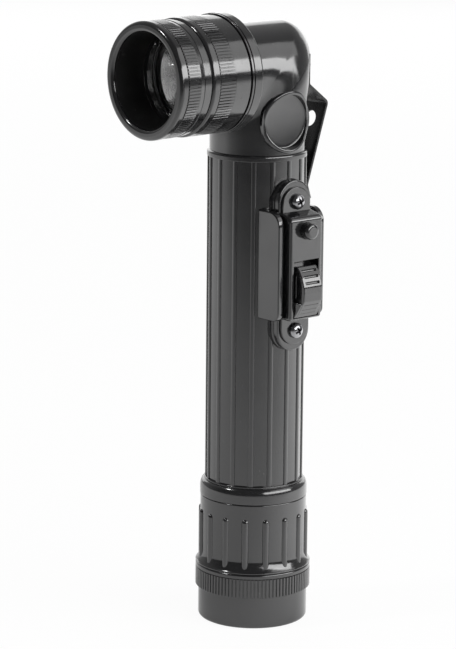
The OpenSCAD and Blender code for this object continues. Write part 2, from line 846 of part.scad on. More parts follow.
module elbow_skin() {
  n = skin_fibres;
  rings = bend_steps + 2;
  points = [for (i = [0:rings], j = [0:n - 1]) skin_point(i, 360 * j / n)];
  walls = [
    for (i = [0:rings - 1], j = [0:n - 1])
      let (
        a = i * n + j,
        b = i * n + (j + 1) % n
      )
      each [[a, b + n, a + n], [a, b, b + n]]
  ];
  low = [[for (j = [n - 1:-1:0]) j]];
  high = [[for (j = [0:n - 1]) rings * n + j]];
  polyhedron(points, concat(walls, low, high));
}

// Flange and threaded spigot, about the lamp's axis
module head_flange() {
  edge = flange_t / 6;
  fine = edge / 3;
  inner = head_spigot_r - head_spigot_wall;
  seal_in = head_spigot_r + rest_gap;
  rotate_extrude()
    polygon(concat(
      [
        [reflector_well_r, flange_back],
        [flange_r - edge, flange_back],
        [flange_r - edge, flange_back + edge / 2]
      ],
      arc(flange_r - edge, flange_back + edge * 3 / 2, edge, -60, 0, 4),
      [
        [flange_r, flange_front - edge - fine],
        [flange_r - fine, flange_front - edge - fine],
        [flange_r - fine, flange_front - edge],
        [flange_r - fine / 4, flange_front - edge],
        [flange_r - fine / 4, flange_front],
        [seal_in + head_seal_w, flange_front],
        [seal_in + head_seal_w, flange_front - head_seal_depth],
        [seal_in, flange_front - head_seal_depth],
        [seal_in, flange_front],
        [head_spigot_r, flange_front],
        [head_spigot_r, spigot_front],
        [inner, spigot_front],
        [inner, flange_front],
        [reflector_well_r, flange_front]
      ]
    ));
}

module side_pad() {
  intersection() {
    along_x(neck_z + pad_rise) cylinder(r = pad_r, h = bend_r + cut_over * 2);
    translate([0, 0, neck_z])
      cylinder(r = bend_r + pad_rim_out, h = head_rise);
    block([tube_bore_r, -pad_r, neck_z], [bend_r + pad_rim_out, pad_r, head_z]);
  }
}

strip_slot_half = strip_w / 2 + rest_gap;
strip_slot_x = strip_x + rest_gap;
strip_turn_z = head_z - socket_r / 2 - strip_t;
contact_y = bulb_base_len - socket_front + bulb_tip_r;
contact_half_w = leaf_w / 2;

module elbow_cavities() {
  // Over the cells
  translate([0, 0, neck_z - elbow_spigot_h - cut_over])
    cylinder(r = cavity_r, h = elbow_spigot_h + cavity_h + cut_over);
  // Behind the reflector
  on_head() translate([0, 0, socket_front + cut_over])
    cylinder(r = reflector_well_r, h = flange_front);
  // Seat of the lamp socket
  on_head() translate([0, 0, socket_front - bulb_base_len - rest_gap])
    cylinder(r = socket_r + touch_gap, h = flange_front + bulb_base_len);
  // Way of the lamp contact
  block(
    [-contact_half_w - 2 * rest_gap, bulb_base_len - socket_front, neck_z + cavity_h - cut_over],
    [contact_half_w + 2 * rest_gap, contact_y + 3 * strip_t, head_z + 2 * bulb_tip_r]
  );
  // Way of the lamp strip
  block(
    [cavity_r - cut_over, -strip_slot_half, neck_z - elbow_spigot_h - cut_over],
    [strip_slot_x, strip_slot_half, strip_turn_z + strip_t + rest_gap]
  );
  block(
    [cavity_r - cut_over, -strip_slot_half, neck_z - elbow_spigot_h - cut_over],
    [tube_bore_r + cut_over, strip_slot_half, neck_z]
  );
  block(
    [socket_r / 2, -strip_slot_half, strip_turn_z - rest_gap],
    [strip_slot_x, strip_slot_half, strip_turn_z + strip_t + rest_gap]
  );
  // Dished faces of the side pads
  for (side = [0, 1])
    mirror([side, 0, 0])
      along_x(neck_z + pad_rise) translate([0, 0, pad_face_x])
        cylinder(r = pad_r - pad_rim_w, h = bend_r);
  // Rivet holes
  for (side = [-1, 1])
    translate([side * rivet_x, 0, rivet_z])
      rotate([-90, 0, 0])
        translate([0, 0, rivet_end_y - rest_gap])
          cylinder(r = rivet_r + touch_gap, h = clip_seat_y);
}

module elbow_housing() {
  color(black_plastic)
    difference() {
      union() {
        elbow_skin();
        on_head() head_flange();
        translate([0, 0, neck_z - elbow_spigot_h])
          cylinder(r = tube_bore_r - thread_gap, h = elbow_spigot_h + cut_over);
        for (side = [0, 1])
          mirror([side, 0, 0]) side_pad();
        block(
          [-clip_w / 2 - rest_gap * 2, cavity_r, clip_top_z - clip_seat_len],
          [clip_w / 2 + rest_gap * 2, clip_seat_y, clip_top_z + rest_gap * 5]
        );
      }
      elbow_cavities();
    }
}

module head_seal() {
  inner = head_spigot_r + rest_gap;
  color(rubber)
    on_head() translate([0, 0, flange_front - head_seal_depth])
      difference() {
        cylinder(r = inner + head_seal_w, h = head_seal_depth + ring_gap);
        translate([0, 0, -cut_over]) cylinder(r = inner, h = head_seal_depth + 2 * cut_over);
      }
}

// Lamp
socket_back = socket_front - bulb_base_len + insulator_t;

module bulb_socket() {
  color(brass)
    on_head() translate([0, 0, socket_back])
      difference() {
        cylinder(r = socket_r, h = socket_front - socket_back);
        translate([0, 0, -cut_over])
          cylinder(r = bulb_base_r + touch_gap, h = socket_front - socket_back + 2 * cut_over);
      }
}

module socket_insulator() {
  color([0.75, 0.70, 0.58])
    on_head() translate([0, 0, socket_back - insulator_t])
      difference() {
        cylinder(r = socket_r, h = insulator_t);
        translate([0, 0, -cut_over])
          cylinder(r = bulb_tip_r + rest_gap, h = insulator_t + 2 * cut_over);
      }
}

module bulb_base() {
  color(steel)
    on_head()
      rotate_extrude()
        polygon([
          [0, socket_front - bulb_base_len - bulb_tip_r + touch_gap],
          [bulb_tip_r, socket_front - bulb_base_len - bulb_tip_r + touch_gap],
          [bulb_tip_r, socket_back],
          [bulb_base_r, socket_back],
          [bulb_base_r, socket_front],
          [bulb_flange_r, socket_front],
          [bulb_flange_r, socket_front + bulb_flange_t],
          [0, socket_front + bulb_flange_t]
        ]);
}

module led_bulb() {
  foot = socket_front + bulb_flange_t;
  color([0.95, 0.95, 0.80, 0.8])
    on_head()
      rotate_extrude()
        polygon(concat(
          [[0, foot]],
          [[bulb_r, foot]],
          arc(0, foot + bulb_len - bulb_r, bulb_r, 0, 90, 8)
        ));
}

// Bowl of the reflector: a parabola of revolution with an even wall
vertex = lens_front - lens_t - gasket_t - reflector_depth;
parabola = reflector_rim_r * reflector_rim_r / reflector_depth;

module reflector() {
  steps = 10;
  rim = lens_front - lens_t - gasket_t;
  radii = [
    for (i = [0:steps]) reflector_neck_r + (reflector_rim_r - reflector_neck_r) * i / steps
  ];
  neck_s = vertex + rest_gap;
  inner = [for (r = radii) [r, vertex + r * r / parabola]];
  outer = [
    for (i = [steps:-1:0])
      let (s = vertex + radii[i] * radii[i] / parabola)
      if (s < rim - reflector_flange_t) [radii[i] + reflector_wall, s]
  ];
  color(silver)
    on_head()
      rotate_extrude()
        polygon(concat(
          [[reflector_neck_r, neck_s]],
          inner,
          [
            [lens_r, rim],
            [lens_r, rim - reflector_flange_t],
            [reflector_rim_r + reflector_wall / 2, rim - reflector_flange_t]
          ],
          outer,
          [[reflector_neck_r + reflector_wall, neck_s]]
        ));
}

module lens_gasket() {
  color(rubber)
    on_head() translate([0, 0, lens_front - lens_t - gasket_t])
      difference() {
        cylinder(r = lens_r, h = gasket_t);
        translate([0, 0, -cut_over]) cylinder(r = ring_lip_r, h = gasket_t + 2 * cut_over);
      }
}

module lens() {
  color(clear)
    on_head() translate([0, 0, lens_front - lens_t])
      cylinder(r = lens_r, h = lens_t);
}

// Lens ring
ring_bore_r = head_spigot_r + thread_gap;
ring_knurl_back = ring_back + ring_band_len;

module lens_ring() {
  knurl_in = ring_rim_r - knurl_depth * 2;
  color(black_plastic)
    on_head() {
      rotate_extrude()
        polygon([
          [ring_bore_r, ring_back],
          [ring_back_r, ring_back],
          [ring_band_r, ring_knurl_back],
          [ring_rim_r - knurl_depth, ring_knurl_back],
          [ring_rim_r - knurl_depth, ring_knurl_back + ring_knurl_len],
          [ring_rim_r, ring_knurl_back + ring_knurl_len],
          [ring_rim_r, ring_front - knurl_depth],
          [ring_rim_r - knurl_depth, ring_front],
          [ring_socket_r, ring_front],
          [ring_socket_r, lip_front],
          [ring_lip_r, lip_front],
          [ring_lip_r, lens_front],
          [ring_bore_r, lens_front]
        ]);
      knurled_ring(ring_knurl_r, knurl_in, ring_knurl_back, ring_knurl_len);
    }
}

// Hood
hood_knurl_back = hood_front - hood_lip_len - hood_groove_w - hood_knurl_len;
hood_spigot_back = ring_front - hood_spigot_h;
hood_seal_s = ring_front - hood_spigot_h / 2;
hood_seal_root = ring_socket_r - 2 * hood_seal_section - touch_gap;
hood_seal_half = hood_seal_section + touch_gap;

module front_bezel() {
  knurl_in = hood_band_r - knurl_depth * 2;
  lip_s = hood_front - hood_lip_len;
  color(black_plastic)
    on_head() {
      rotate_extrude()
        polygon(concat(
          [
            [hood_spigot_bore_r, hood_spigot_back],
            [hood_spigot_r, hood_spigot_back],
            [hood_spigot_r, hood_seal_s - hood_seal_half],
            [hood_seal_root, hood_seal_s - hood_seal_half],
            [hood_seal_root, hood_seal_s + hood_seal_half],
            [hood_spigot_r, hood_seal_s + hood_seal_half],
            [hood_spigot_r, ring_front],
            [hood_band_r, ring_front],
            [hood_band_r, hood_knurl_back],
            [hood_band_r - knurl_depth, hood_knurl_back],
            [hood_band_r - knurl_depth, hood_knurl_back + hood_knurl_len],
            [hood_groove_r, hood_knurl_back + hood_knurl_len],
            [hood_groove_r, lip_s],
            [hood_lip_r, lip_s]
          ],
          arc(hood_lip_r - hood_lip_edge, hood_front - hood_lip_edge, hood_lip_edge, 0, 90),
          arc(hood_bore_r + hood_lip_edge, hood_front - hood_lip_edge, hood_lip_edge, 90, 180),
          [
            [hood_bore_r, ring_front],
            [hood_spigot_bore_r, ring_front - cover_t]
          ]
        ));
      knurled_ring(hood_knurl_r, knurl_in, hood_knurl_back, hood_knurl_len);
    }
}

module hood_seal() {
  on_head()
    rubber_ring(hood_seal_root + hood_seal_section + touch_gap / 2, hood_seal_section, hood_seal_s);
}

// Brass strips
module ground_strip() {
  color(brass)
    block(
      [strip_x - strip_t, -strip_w / 2, cap_floor_z + plate_t + touch_gap],
      [strip_x, strip_w / 2, window_low_z + leaf_w / 2]
    );
}

module lamp_strip() {
  rise = head_z - strip_turn_z - strip_t;
  reach = sqrt(socket_r * socket_r - rise * rise) + 2 * rest_gap;
  color(brass) {
    block(
      [strip_x - strip_t, -strip_w / 2, window_top_z - 2.5 * strip_w],
      [strip_x, strip_w / 2, strip_turn_z + strip_t]
    );
    block(
      [reach, -strip_w / 2, strip_turn_z],
      [strip_x, strip_w / 2, strip_turn_z + strip_t]
    );
  }
}

module lamp_contact() {
  color(brass) {
    block(
      [-contact_half_w, -cell_button_r, cell_top_z + touch_gap],
      [contact_half_w, contact_y + strip_t, cell_top_z + touch_gap + strip_t]
    );
    block(
      [-contact_half_w, contact_y, cell_top_z + touch_gap],
      [contact_half_w, contact_y + strip_t, head_z + bulb_tip_r]
    );
  }
}

// Leaf spring from the ground strip, out through the window to the button's stem
module button_leaf() {
  back = strip_x + leaf_t / 2;
  front = seat_x - strip_t - leaf_t / 2;
  z0 = window_low_z - leaf_w;
  line = bent([
    [back, z0],
    [back, window_low_z + leaf_w / 4],
    [front, window_low_z + leaf_w * 5 / 4],
    [front, window_top_z - 2 * touch_gap - leaf_t]
  ], leaf_t * 2);
  color(brass) side_view(leaf_w / 2) polygon(strip_outline(line, leaf_t));
}

// Switch guard
guard_x = seat_x + guard_t;
fence_low_z = screw_low_z + fence_rise;
fence_top_z = fence_low_z + fence_len;
fence_x = guard_x + fence_out;
saddle_r = tube_rib_r + rest_gap;

module switch_guard() {
  outer = fence_inner + fence_t;
  color(black_plastic)
    difference() {
      union() {
        block([seat_x, -outer, fence_low_z], [guard_x, outer, fence_top_z]);
        for (z = [screw_low_z, screw_top_z])
          along_x(z) translate([0, 0, seat_x]) cylinder(r = guard_ear_r, h = guard_t);
        block(
          [seat_x, -guard_ear_r, screw_low_z],
          [guard_x, guard_ear_r, screw_top_z]
        );
        for (side = [-1, 1])
          translate([0, side * (fence_inner + fence_t / 2), 0])
            side_view(fence_t / 2)
              polygon(concat(
                [[cell_r, fence_top_z], [cell_r, fence_low_z]],
                arc(fence_x - fence_low_r, fence_low_z + fence_low_r, fence_low_r, -90, 0),
                arc(fence_x - fence_top_r, fence_top_z - fence_top_r, fence_top_r, 0, 90)
              ));
      }
      cylinder(r = saddle_r, h = neck_z);
      block(
        [cell_r, -window_half_w - rest_gap, window_low_z - 10 * rest_gap],
        [guard_x + cut_over, window_half_w + rest_gap, window_top_z + 10 * rest_gap]
      );
      for (z = [screw_low_z, screw_top_z])
        along_x(z) cylinder(r = screw_hole_r, h = guard_x + cut_over);
    }
}

// Switch cover
cover_low_z = screw_low_z + cover_rise;
cover_top_z = cover_low_z + cover_len;
cover_x = guard_x + cover_out;
cover_in_x = cover_x - cover_t;
knob_low_z = cover_low_z + knob_low_rise;
knob_top_z = knob_low_z + knob_len;
knob_seat_z = cover_low_z + cover_t + rest_gap;
knob_base_w = cover_half_w - cover_t - rest_gap;
button_z = cover_low_z + button_rise;
button_hole_r = button_r + 3 * touch_gap / 2;

module cover_box(inset) {
  intersection() {
    side_view(cover_half_w - inset)
      polygon(concat(
        [[guard_x, cover_low_z + inset]],
        arc(cover_x - cover_edge_r, cover_low_z + cover_edge_r, cover_edge_r - inset, -90, 0, 4),
        arc(cover_x - cover_edge_r, cover_top_z - cover_edge_r, cover_edge_r - inset, 0, 75, 4),
        [[guard_x, cover_top_z + cover_slope - inset]]
      ));
    translate([0, 0, cover_low_z])
      linear_extrude(height = cover_len + cover_slope)
        polygon(concat(
          [[guard_x, -cover_half_w + inset]],
          arc(cover_x - cover_edge_r, cover_edge_r - cover_half_w, cover_edge_r - inset, -90, 0, 4),
          arc(cover_x - cover_edge_r, cover_half_w - cover_edge_r, cover_edge_r - inset, 0, 90, 4),
          [[guard_x, cover_half_w - inset]]
        ));
  }
}

module switch_cover() {
  color(knob_plastic)
    difference() {
      union() {
        cover_box(0);
        for (z = [screw_low_z + cover_ear_inset, screw_top_z - cover_ear_inset])
          along_x(z) translate([0, 0, guard_x]) cylinder(r = cover_ear_r, h = cover_ear_t);
        block(
          [guard_x, -cover_ear_r, screw_low_z + cover_ear_inset],
          [guard_x + cover_ear_t, cover_ear_r, screw_top_z - cover_ear_inset]
        );
      }
      cover_box(cover_t);
      block(
        [guard_x - cut_over, -cover_half_w + cover_t, cover_low_z + cover_t],
        [guard_x + cover_ear_t, cover_half_w - cover_t, cover_top_z - cover_t]
      );
      block(
        [cover_in_x - cut_over, -knob_foot_half_w - 3 * touch_gap, knob_low_z - rest_gap],
        [cover_x + cut_over, knob_foot_half_w + 3 * touch_gap, knob_top_z + knob_travel + rest_gap]
      );
      along_x(button_z) cylinder(r = button_hole_r, h = cover_x + cut_over);
      for (z = [screw_low_z, screw_top_z])
        along_x(z) cylinder(r = screw_hole_r, h = cover_x);
    }
}

module switch_screws() {
  head_x = guard_x + cover_ear_t;
  cross_w = screw_r / 2;
  color(steel)
    for (z = [screw_low_z, screw_top_z])
      difference() {
        along_x(z)
          rotate_extrude()
            polygon(concat(
              [
                [0, screw_end_x],
                [screw_r, screw_end_x],
                [screw_r, head_x],
                [screw_head_r, head_x]
              ],
              [
                for (i = [0:6])
                  let (a = 90 * i / 6)
                  [screw_head_r * cos(a), head_x + screw_head_h * (0.35 + 0.65 * sin(a))]
              ]
            ));
        for (turn = [0, 90])
          translate([head_x + screw_head_h / 2, 0, z])
            rotate([turn, 0, 0])
              block(
                [0, -screw_head_r * 0.6, -cross_w / 2],
                [screw_head_h, screw_head_r * 0.6, cross_w / 2]
              );
      }
}

// Slide knob. Its outline is given in shares of its rise and its length.
knob_outline_shares = [
  [0, 0], [0.19, 0], [0.30, 0.05], [0.69, 0.235], [0.955, 0.345], [1, 0.50],
  [0.985, 0.62], [0.90, 0.70], [0.75, 0.81], [0.51, 0.915], [0.24, 1], [0, 1]
];
// The dished sides, in the same shares
knob_side_shares = [[0.10, 0.37], [0.72, 0.37], [0.76, 0.62], [0.48, 0.79], [0.10, 0.88]];
// The flared foot under the lower slope, in the same shares
knob_foot_shares = [[0, 0], [0.19, 0], [0.30, 0.05], [0.69, 0.235], [0.84, 0.30], [0, 0.32]];
// Heights of the grip grooves on the upper slope and how far out they lie
knob_groove_shares = [[0.915, 0.70], [0.755, 0.815], [0.50, 0.925]];
// Heights of the fine grooves on the lower slope
knob_fine_shares = [[0.385, 0.09], [0.55, 0.17], [0.765, 0.266]];
knob_groove_r = knob_rise / 10;
knob_back_x = guard_x + rest_gap;
knob_base_t = knob_travel + rest_gap;

function on_knob(share) =
  [cover_in_x + knob_rise * share[0], knob_low_z + knob_len * share[1]];

module knob_groove(share, r) {
  p = on_knob(share);
  translate([p[0], 0, p[1]])
    rotate([90, 0, 0])
      cylinder(r = r, h = 2 * knob_half_w + 2 * cut_over, center = true, $fn = 24);
}

module knob_foot() {
  intersection() {
    side_view(knob_foot_half_w)
      polygon([for (share = knob_foot_shares) on_knob(share)]);
    translate([0, 0, knob_low_z])
      linear_extrude(height = knob_len)
        polygon([
          [cover_in_x, -knob_foot_half_w],
          [cover_in_x + knob_rise, -knob_half_w],
          [cover_in_x + knob_rise, knob_half_w],
          [cover_in_x, knob_foot_half_w]
        ]);
  }
}

module slide_knob() {
  color(knob_plastic)
    difference() {
      union() {
        side_view(knob_half_w)
          polygon([for (share = knob_outline_shares) on_knob(share)]);
        knob_foot();
        block(
          [knob_back_x, -knob_half_w, knob_seat_z],
          [cover_in_x + touch_gap, knob_half_w, knob_top_z]
        );
        block(
          [knob_back_x, -knob_base_w, knob_seat_z],
          [knob_back_x + knob_base_t, knob_base_w, knob_top_z + knob_rise]
        );
      }
      for (share = knob_groove_shares)
        knob_groove(share, knob_groove_r);
      for (share = knob_fine_shares)
        knob_groove(share, knob_groove_r / 2);
      for (side = [-1, 1])
        translate([0, side * knob_half_w, 0])
          side_view(knob_groove_r)
            polygon([for (share = knob_side_shares) on_knob(share)]);
    }
}

// Bridge under the knob, which reaches through the guard's window to the leaf
module slide_contact() {
  back = knob_back_x - leaf_t / 2;
  front = seat_x - strip_t + leaf_t;
  z0 = knob_seat_z + leaf_w * 4 / 5;
  line = bent([
    [back, z0],
    [back, z0 + leaf_w / 3],
    [front, z0 + leaf_w],
    [front, z0 + leaf_w * 5 / 3],
    [back, z0 + leaf_w * 7 / 3],
    [back, z0 + leaf_w * 8 / 3]
  ], leaf_t);
  color(brass) side_view(leaf_w / 2) polygon(strip_outline(line, leaf_t));
}

// Signal button
module signal_button() {
  flange_x = cover_in_x - rest_gap - button_flange_t;
  face_x = cover_x + button_out;
  tip_x = seat_x - strip_t + button_travel + rest_gap;
  color(knob_plastic)
    along_x(button_z)
      rotate_extrude()
        polygon(concat(
          [
            [0, tip_x],
            [button_stem_r, tip_x],
            [button_stem_r, flange_x],
            [button_flange_r, flange_x],
            [button_flange_r, flange_x + button_flange_t],
            [button_r, flange_x + button_flange_t]
          ],
          arc(button_r - button_edge_r, face_x - button_edge_r, button_edge_r, 0, 90, 4),
          [[0, face_x]]
        ));
}

// Belt clip. Its middle line is drawn as y and z.
clip_top_z = neck_z + clip_top_rise;
clip_line_y = clip_seat_y + clip_t / 2;
clip_seat_z = clip_top_z - clip_seat_len;
clip_knee = [clip_line_y + clip_knee_out, clip_seat_z - clip_knee_drop];
clip_touch = [tube_rib_r + clip_t / 2 + touch_gap, clip_knee[1] - clip_leg_h];
clip_leg = heading(clip_knee, clip_touch);
clip_hole = clip_knee + clip_leg * clip_hole_drop;
rivet_z = clip_top_z - rivet_drop;
rivet_end_y = cavity_r + cap_floor_t;

module belt_clip() {
  line = bent([
    [clip_line_y, clip_top_z],
    [clip_line_y, clip_seat_z],
    clip_knee,
    clip_touch,
    clip_touch + [clip_flare_out, -clip_flare_h]
  ], clip_bend_r);
  color(clip_metal)
    difference() {
      end_view(clip_w / 2) polygon(strip_outline(line, clip_t));
      translate([0, clip_hole[0], clip_hole[1]])
        rotate([atan2(clip_leg[1], clip_leg[0]), 0, 0])
          cylinder(r = clip_hole_r, h = 4 * clip_t, center = true);
      for (side = [-1, 1])
        translate([side * rivet_x, clip_seat_y - clip_t, rivet_z])
          rotate([-90, 0, 0]) cylinder(r = rivet_r + touch_gap, h = 3 * clip_t);
    }
}

module clip_rivets() {
  head_y = clip_seat_y + clip_t;
  color(clip_metal)
    for (side = [-1, 1])
      translate([side * rivet_x, 0, rivet_z])
        rotate([-90, 0, 0])
          rotate_extrude()
            polygon(concat(
              [
                [0, rivet_end_y],
                [rivet_r, rivet_end_y],
                [rivet_r, head_y],
                [rivet_head_r, head_y]
              ],
              [
                for (i = [1:4])
                  let (a = 90 * i / 4)
                  [rivet_head_r * cos(a), head_y + rivet_head_h * sin(a)]
              ]
            ));
}

elbow_housing();
battery_tube();
switch_guard();
switch_cover();
switch_screws();
belt_clip();
clip_rivets();
bulb_socket();
socket_insulator();
bulb_base();
led_bulb();
lamp_contact();
lamp_strip();
ground_strip();
button_leaf();
battery_upper();
battery_lower();
head_seal();
lens();
lens_gasket();
reflector();
lens_ring();
hood_seal();
front_bezel();
cap_seal();
battery_cap();
cap_contact();
tail_spring();
cup_seal();
base_cup();
filter_red();
filter_amber();
filter_blue();
filter_clear();
slide_knob();
slide_contact();
signal_button();
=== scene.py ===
from math import atan2, cos, pi, radians, sin, sqrt, tan

import bmesh
import bpy
from mathutils import Matrix, Vector


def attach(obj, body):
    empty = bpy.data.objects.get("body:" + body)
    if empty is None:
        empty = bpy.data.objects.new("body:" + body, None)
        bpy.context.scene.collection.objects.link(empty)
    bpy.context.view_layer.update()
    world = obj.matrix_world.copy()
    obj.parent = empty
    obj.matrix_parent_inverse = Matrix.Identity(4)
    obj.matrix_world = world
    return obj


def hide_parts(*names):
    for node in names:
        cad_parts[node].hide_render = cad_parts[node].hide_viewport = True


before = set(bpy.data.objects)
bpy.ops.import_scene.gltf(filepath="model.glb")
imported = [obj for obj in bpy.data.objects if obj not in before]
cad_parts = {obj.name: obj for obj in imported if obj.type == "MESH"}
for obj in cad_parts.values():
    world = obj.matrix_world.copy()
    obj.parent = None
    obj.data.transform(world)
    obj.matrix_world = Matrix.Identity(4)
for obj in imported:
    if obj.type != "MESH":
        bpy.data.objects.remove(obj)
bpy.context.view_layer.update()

# Angle-head pocket flashlight. Lengths are in millimetres up to the last step of each piece.
MM = 0.001
FULL_TURN = 2 * pi

# An edge that turns by more than this many degrees is shaded sharp
SHARP_DEG = 32

# Every screw thread climbs by this much in a turn
PITCH = 1.5

# Heights along the tube
NECK_Z = 116.5
PAD_Z = 124.3
LAMP_Z = 135.7
SCREW_LOW = 74.3
SCREW_TOP = 105.6
BUTTON_Z = 99.1

# How far the side pads stand in front of the tube's axis, as a y
PAD_Y = -0.15

# The flange's front face, along the lamp's axis
FLANGE_FRONT = 14.1

# Level directions as (x, y): to the studio's front, and to the right as seen from there
FRONT = (0.749, -0.663)
RIGHT = (0.663, 0.749)

# Shares of white: the floor seen directly, in mirrored rays and through clear parts
FLOOR_SEEN = 0.94
FLOOR_MIRROR = 0.1
THROUGH = 0.85

# How bright the room is in mirrored rays, in front and behind
ROOM_NEAR = 0.10
ROOM_FAR = 0.42

# Places: upright as drawn, about the lamp's axis, and about an axis that points at the switch side
UPRIGHT = Matrix.Identity(4)
LAMP = Matrix.Translation((0, 0, LAMP_Z)) @ Matrix.Rotation(radians(90), 4, "X")


def switch_side(z):
    return Matrix.Translation((0, 0, z)) @ Matrix.Rotation(radians(90), 4, "Y")


def across(u, v, w):
    """A side view's place: u points out at the switch side, v up, w to the clip side."""
    return (u, w, v)


def outward(u, v, w):
    """A front view's place: u points to the clip side, v up, w out at the switch side."""
    return (w, u, v)


# Outlines and meshes


def rounded(corners, steps=5, support=0.05):
    """A closed outline from corners (u, v, radius), with a short support on each side of a rounding."""
    points = []
    count = len(corners)
    for i, (u, v, radius) in enumerate(corners):
        here = Vector((u, v))
        if radius <= 0:
            points.append(here)
            continue
        before = (Vector(corners[i - 1][:2]) - here).normalized()
        after = (Vector(corners[(i + 1) % count][:2]) - here).normalized()
        half = before.angle(after) / 2
        reach = radius / tan(half)
        centre = here + (before + after).normalized() * (radius / sin(half))
        start = here + before * reach - centre
        end = here + after * reach - centre
        turn = atan2(start.cross(end), start.dot(end))
        points.append(here + before * (reach + support))
        for k in range(steps + 1):
            c, s = cos(turn * k / steps), sin(turn * k / steps)
            points.append(centre + Vector((start.x * c - start.y * s, start.x * s + start.y * c)))
        points.append(here + after * (reach + support))
    return points


def rectangle(half_w, low, high, radius):
    """A plate's outline with rounded corners, as wide on both sides of the middle."""
    return rounded(
        [(-half_w, low, radius), (half_w, low, radius), (half_w, high, radius), (-half_w, high, radius)]
    )


def stadium(half_w, low, high, steps=24):
    """A long outline with round ends; low and high are the centres of the ends."""
    points = []
    for centre, start in ((low, pi), (high, 0)):
        for k in range(steps + 1):
            a = start + pi * k / steps
            points.append(Vector((half_w * cos(a), centre + half_w * sin(a))))
    return points


def dome(radius, foot, height, steps):
    """The outline of a dome from above its foot to the axis."""
    angles = [radians(90) * k / steps for k in range(1, steps + 1)]
    return [(radius * cos(a), foot + height * sin(a)) for a in angles]


def skinned(name, rows, place=UPRIGHT, sharp_deg=SHARP_DEG, wrapped=False):
    """A smooth mesh with faces between rows of points, where every row is a closed loop.

    Either the last row joins the first, or the first and the last are filled.
    """
    bm = bmesh.new()
    made = [[bm.verts.new(p) for p in row] for row in rows]
    count = len(made[0])
    last = len(made) if wrapped else len(made) - 1
    for i in range(last):
        a, b = made[i], made[(i + 1) % len(made)]
        for j in range(count):
            k = (j + 1) % count
            bm.faces.new([a[j], a[k], b[k], b[j]])
    if not wrapped:
        bm.faces.new(list(reversed(made[0])))
        bm.faces.new(made[-1])
    bmesh.ops.remove_doubles(bm, verts=bm.verts, dist=0.0005)
    bmesh.ops.recalc_face_normals(bm, faces=bm.faces)
    mesh = bpy.data.meshes.new(name)
    bm.to_mesh(mesh)
    bm.free()
    mesh.transform(place)
    mesh.shade_smooth()
    mesh.set_sharp_from_angle(angle=radians(sharp_deg))
    return mesh


def lathe(name, outline, sides=144, place=UPRIGHT):
    """Turns a closed outline of (radius, height) once round the axis."""
    turns = [FULL_TURN * k / sides for k in range(sides)]
    rows = [[(r * cos(a), r * sin(a), z) for r, z in outline] for a in turns]
    return skinned(name, rows, place, wrapped=True)


def plug(radius, low, high, sides, place=UPRIGHT):
    """A plain round cutter between two heights."""
    return lathe("plug", [(0, low), (radius, low), (radius, high), (0, high)], sides, place)


def screw_holes(low, high):
    """Cutters for the holes of the two switch screws."""
    return [plug(1.25, low, high, 32, switch_side(z)) for z in (SCREW_LOW, SCREW_TOP)]


def inset(outline, d):
    """The outline moved inwards by d; very tight corners are kept from shooting out."""
    tight_turn = 0.2
    least_share = 0.4
    count = len(outline)
    area = sum(u * q - p * v for (u, v), (p, q) in zip(outline, outline[1:] + outline[:1]))
    side = 1 if area > 0 else -1
    moved = []
    for i in range(count):
        here = Vector(outline[i])
        e1 = (here - Vector(outline[i - 1])).normalized()
        e2 = (Vector(outline[(i + 1) % count]) - here).normalized()
        n1 = Vector((-e1.y, e1.x)) * side
        n2 = Vector((-e2.y, e2.x)) * side
        n = n1 + n2
        if n.length < tight_turn:
            moved.append(here + n1 * d)
            continue
        n.normalize()
        moved.append(here + n * (d / max(n.dot(n1), least_share)))
    return moved


def slab(name, outline, low, high, edge_low, edge_high, point, steps=4):
    """A plate between two levels with rounded rims; point(u, v, w) gives the place.

    A rounded rim has a loop beside it on each face, which keeps the faces' shading flat.
    """
    face_loop = 0.06
    side_loop = 0.04
    angles = [radians(90) * k / steps for k in range(steps + 1)]
    levels = [(edge_low + face_loop, low)] if edge_low > 0 else []
    levels += [(edge_low * (1 - sin(a)), low + edge_low * (1 - cos(a))) for a in angles]
    levels += [(0, low + edge_low + side_loop), (0, high - edge_high - side_loop)]
    levels += [(edge_high * (1 - cos(a)), high - edge_high * (1 - sin(a))) for a in angles]
    if edge_high > 0:
        levels.append((edge_high + face_loop, high))
    return skinned(name, [[point(u, v, w) for u, v in inset(outline, d)] for d, w in levels])


def thread(name, root, crest, low, high, place=UPRIGHT, sides=72):
    """A screw thread: one ridge that climbs by the pitch in each turn and fades at both ends."""
    sunk_foot = root - 0.15
    sunk_end = root - 0.1
    foot_half = 0.30 * PITCH
    top_half = 0.10 * PITCH
    fade_steps = 18
    count = int((high - low) / PITCH * sides)
    rows = []
    for k in range(count + 1):
        a = FULL_TURN * k / sides
        z = low + PITCH * k / sides
        fade = min(1.0, k / fade_steps, (count - k) / fade_steps)
        top = sunk_end + (crest - sunk_end) * fade
        section = (
            (sunk_foot, z - foot_half),
            (top, z - top_half),
            (top, z + top_half),
            (sunk_foot, z + foot_half),
        )
        rows.append([(r * cos(a), r * sin(a), h) for r, h in section])
    return skinned(name, rows, place)


def joined(name, meshes):
    """Puts several meshes into one."""
    bm = bmesh.new()
    for mesh in meshes:
        bm.from_mesh(mesh)
    out = bpy.data.meshes.new(name)
    bm.to_mesh(out)
    bm.free()
    return out


def added(name, data):
    obj = bpy.data.objects.new(name, data)
    bpy.context.scene.collection.objects.link(obj)
    return obj


def evaluated_mesh(obj):
    """The object's mesh with its modifiers worked in, and the object removed."""
    graph = bpy.context.evaluated_depsgraph_get()
    mesh = bpy.data.meshes.new_from_object(obj.evaluated_get(graph))
    bpy.data.objects.remove(obj)
    return mesh


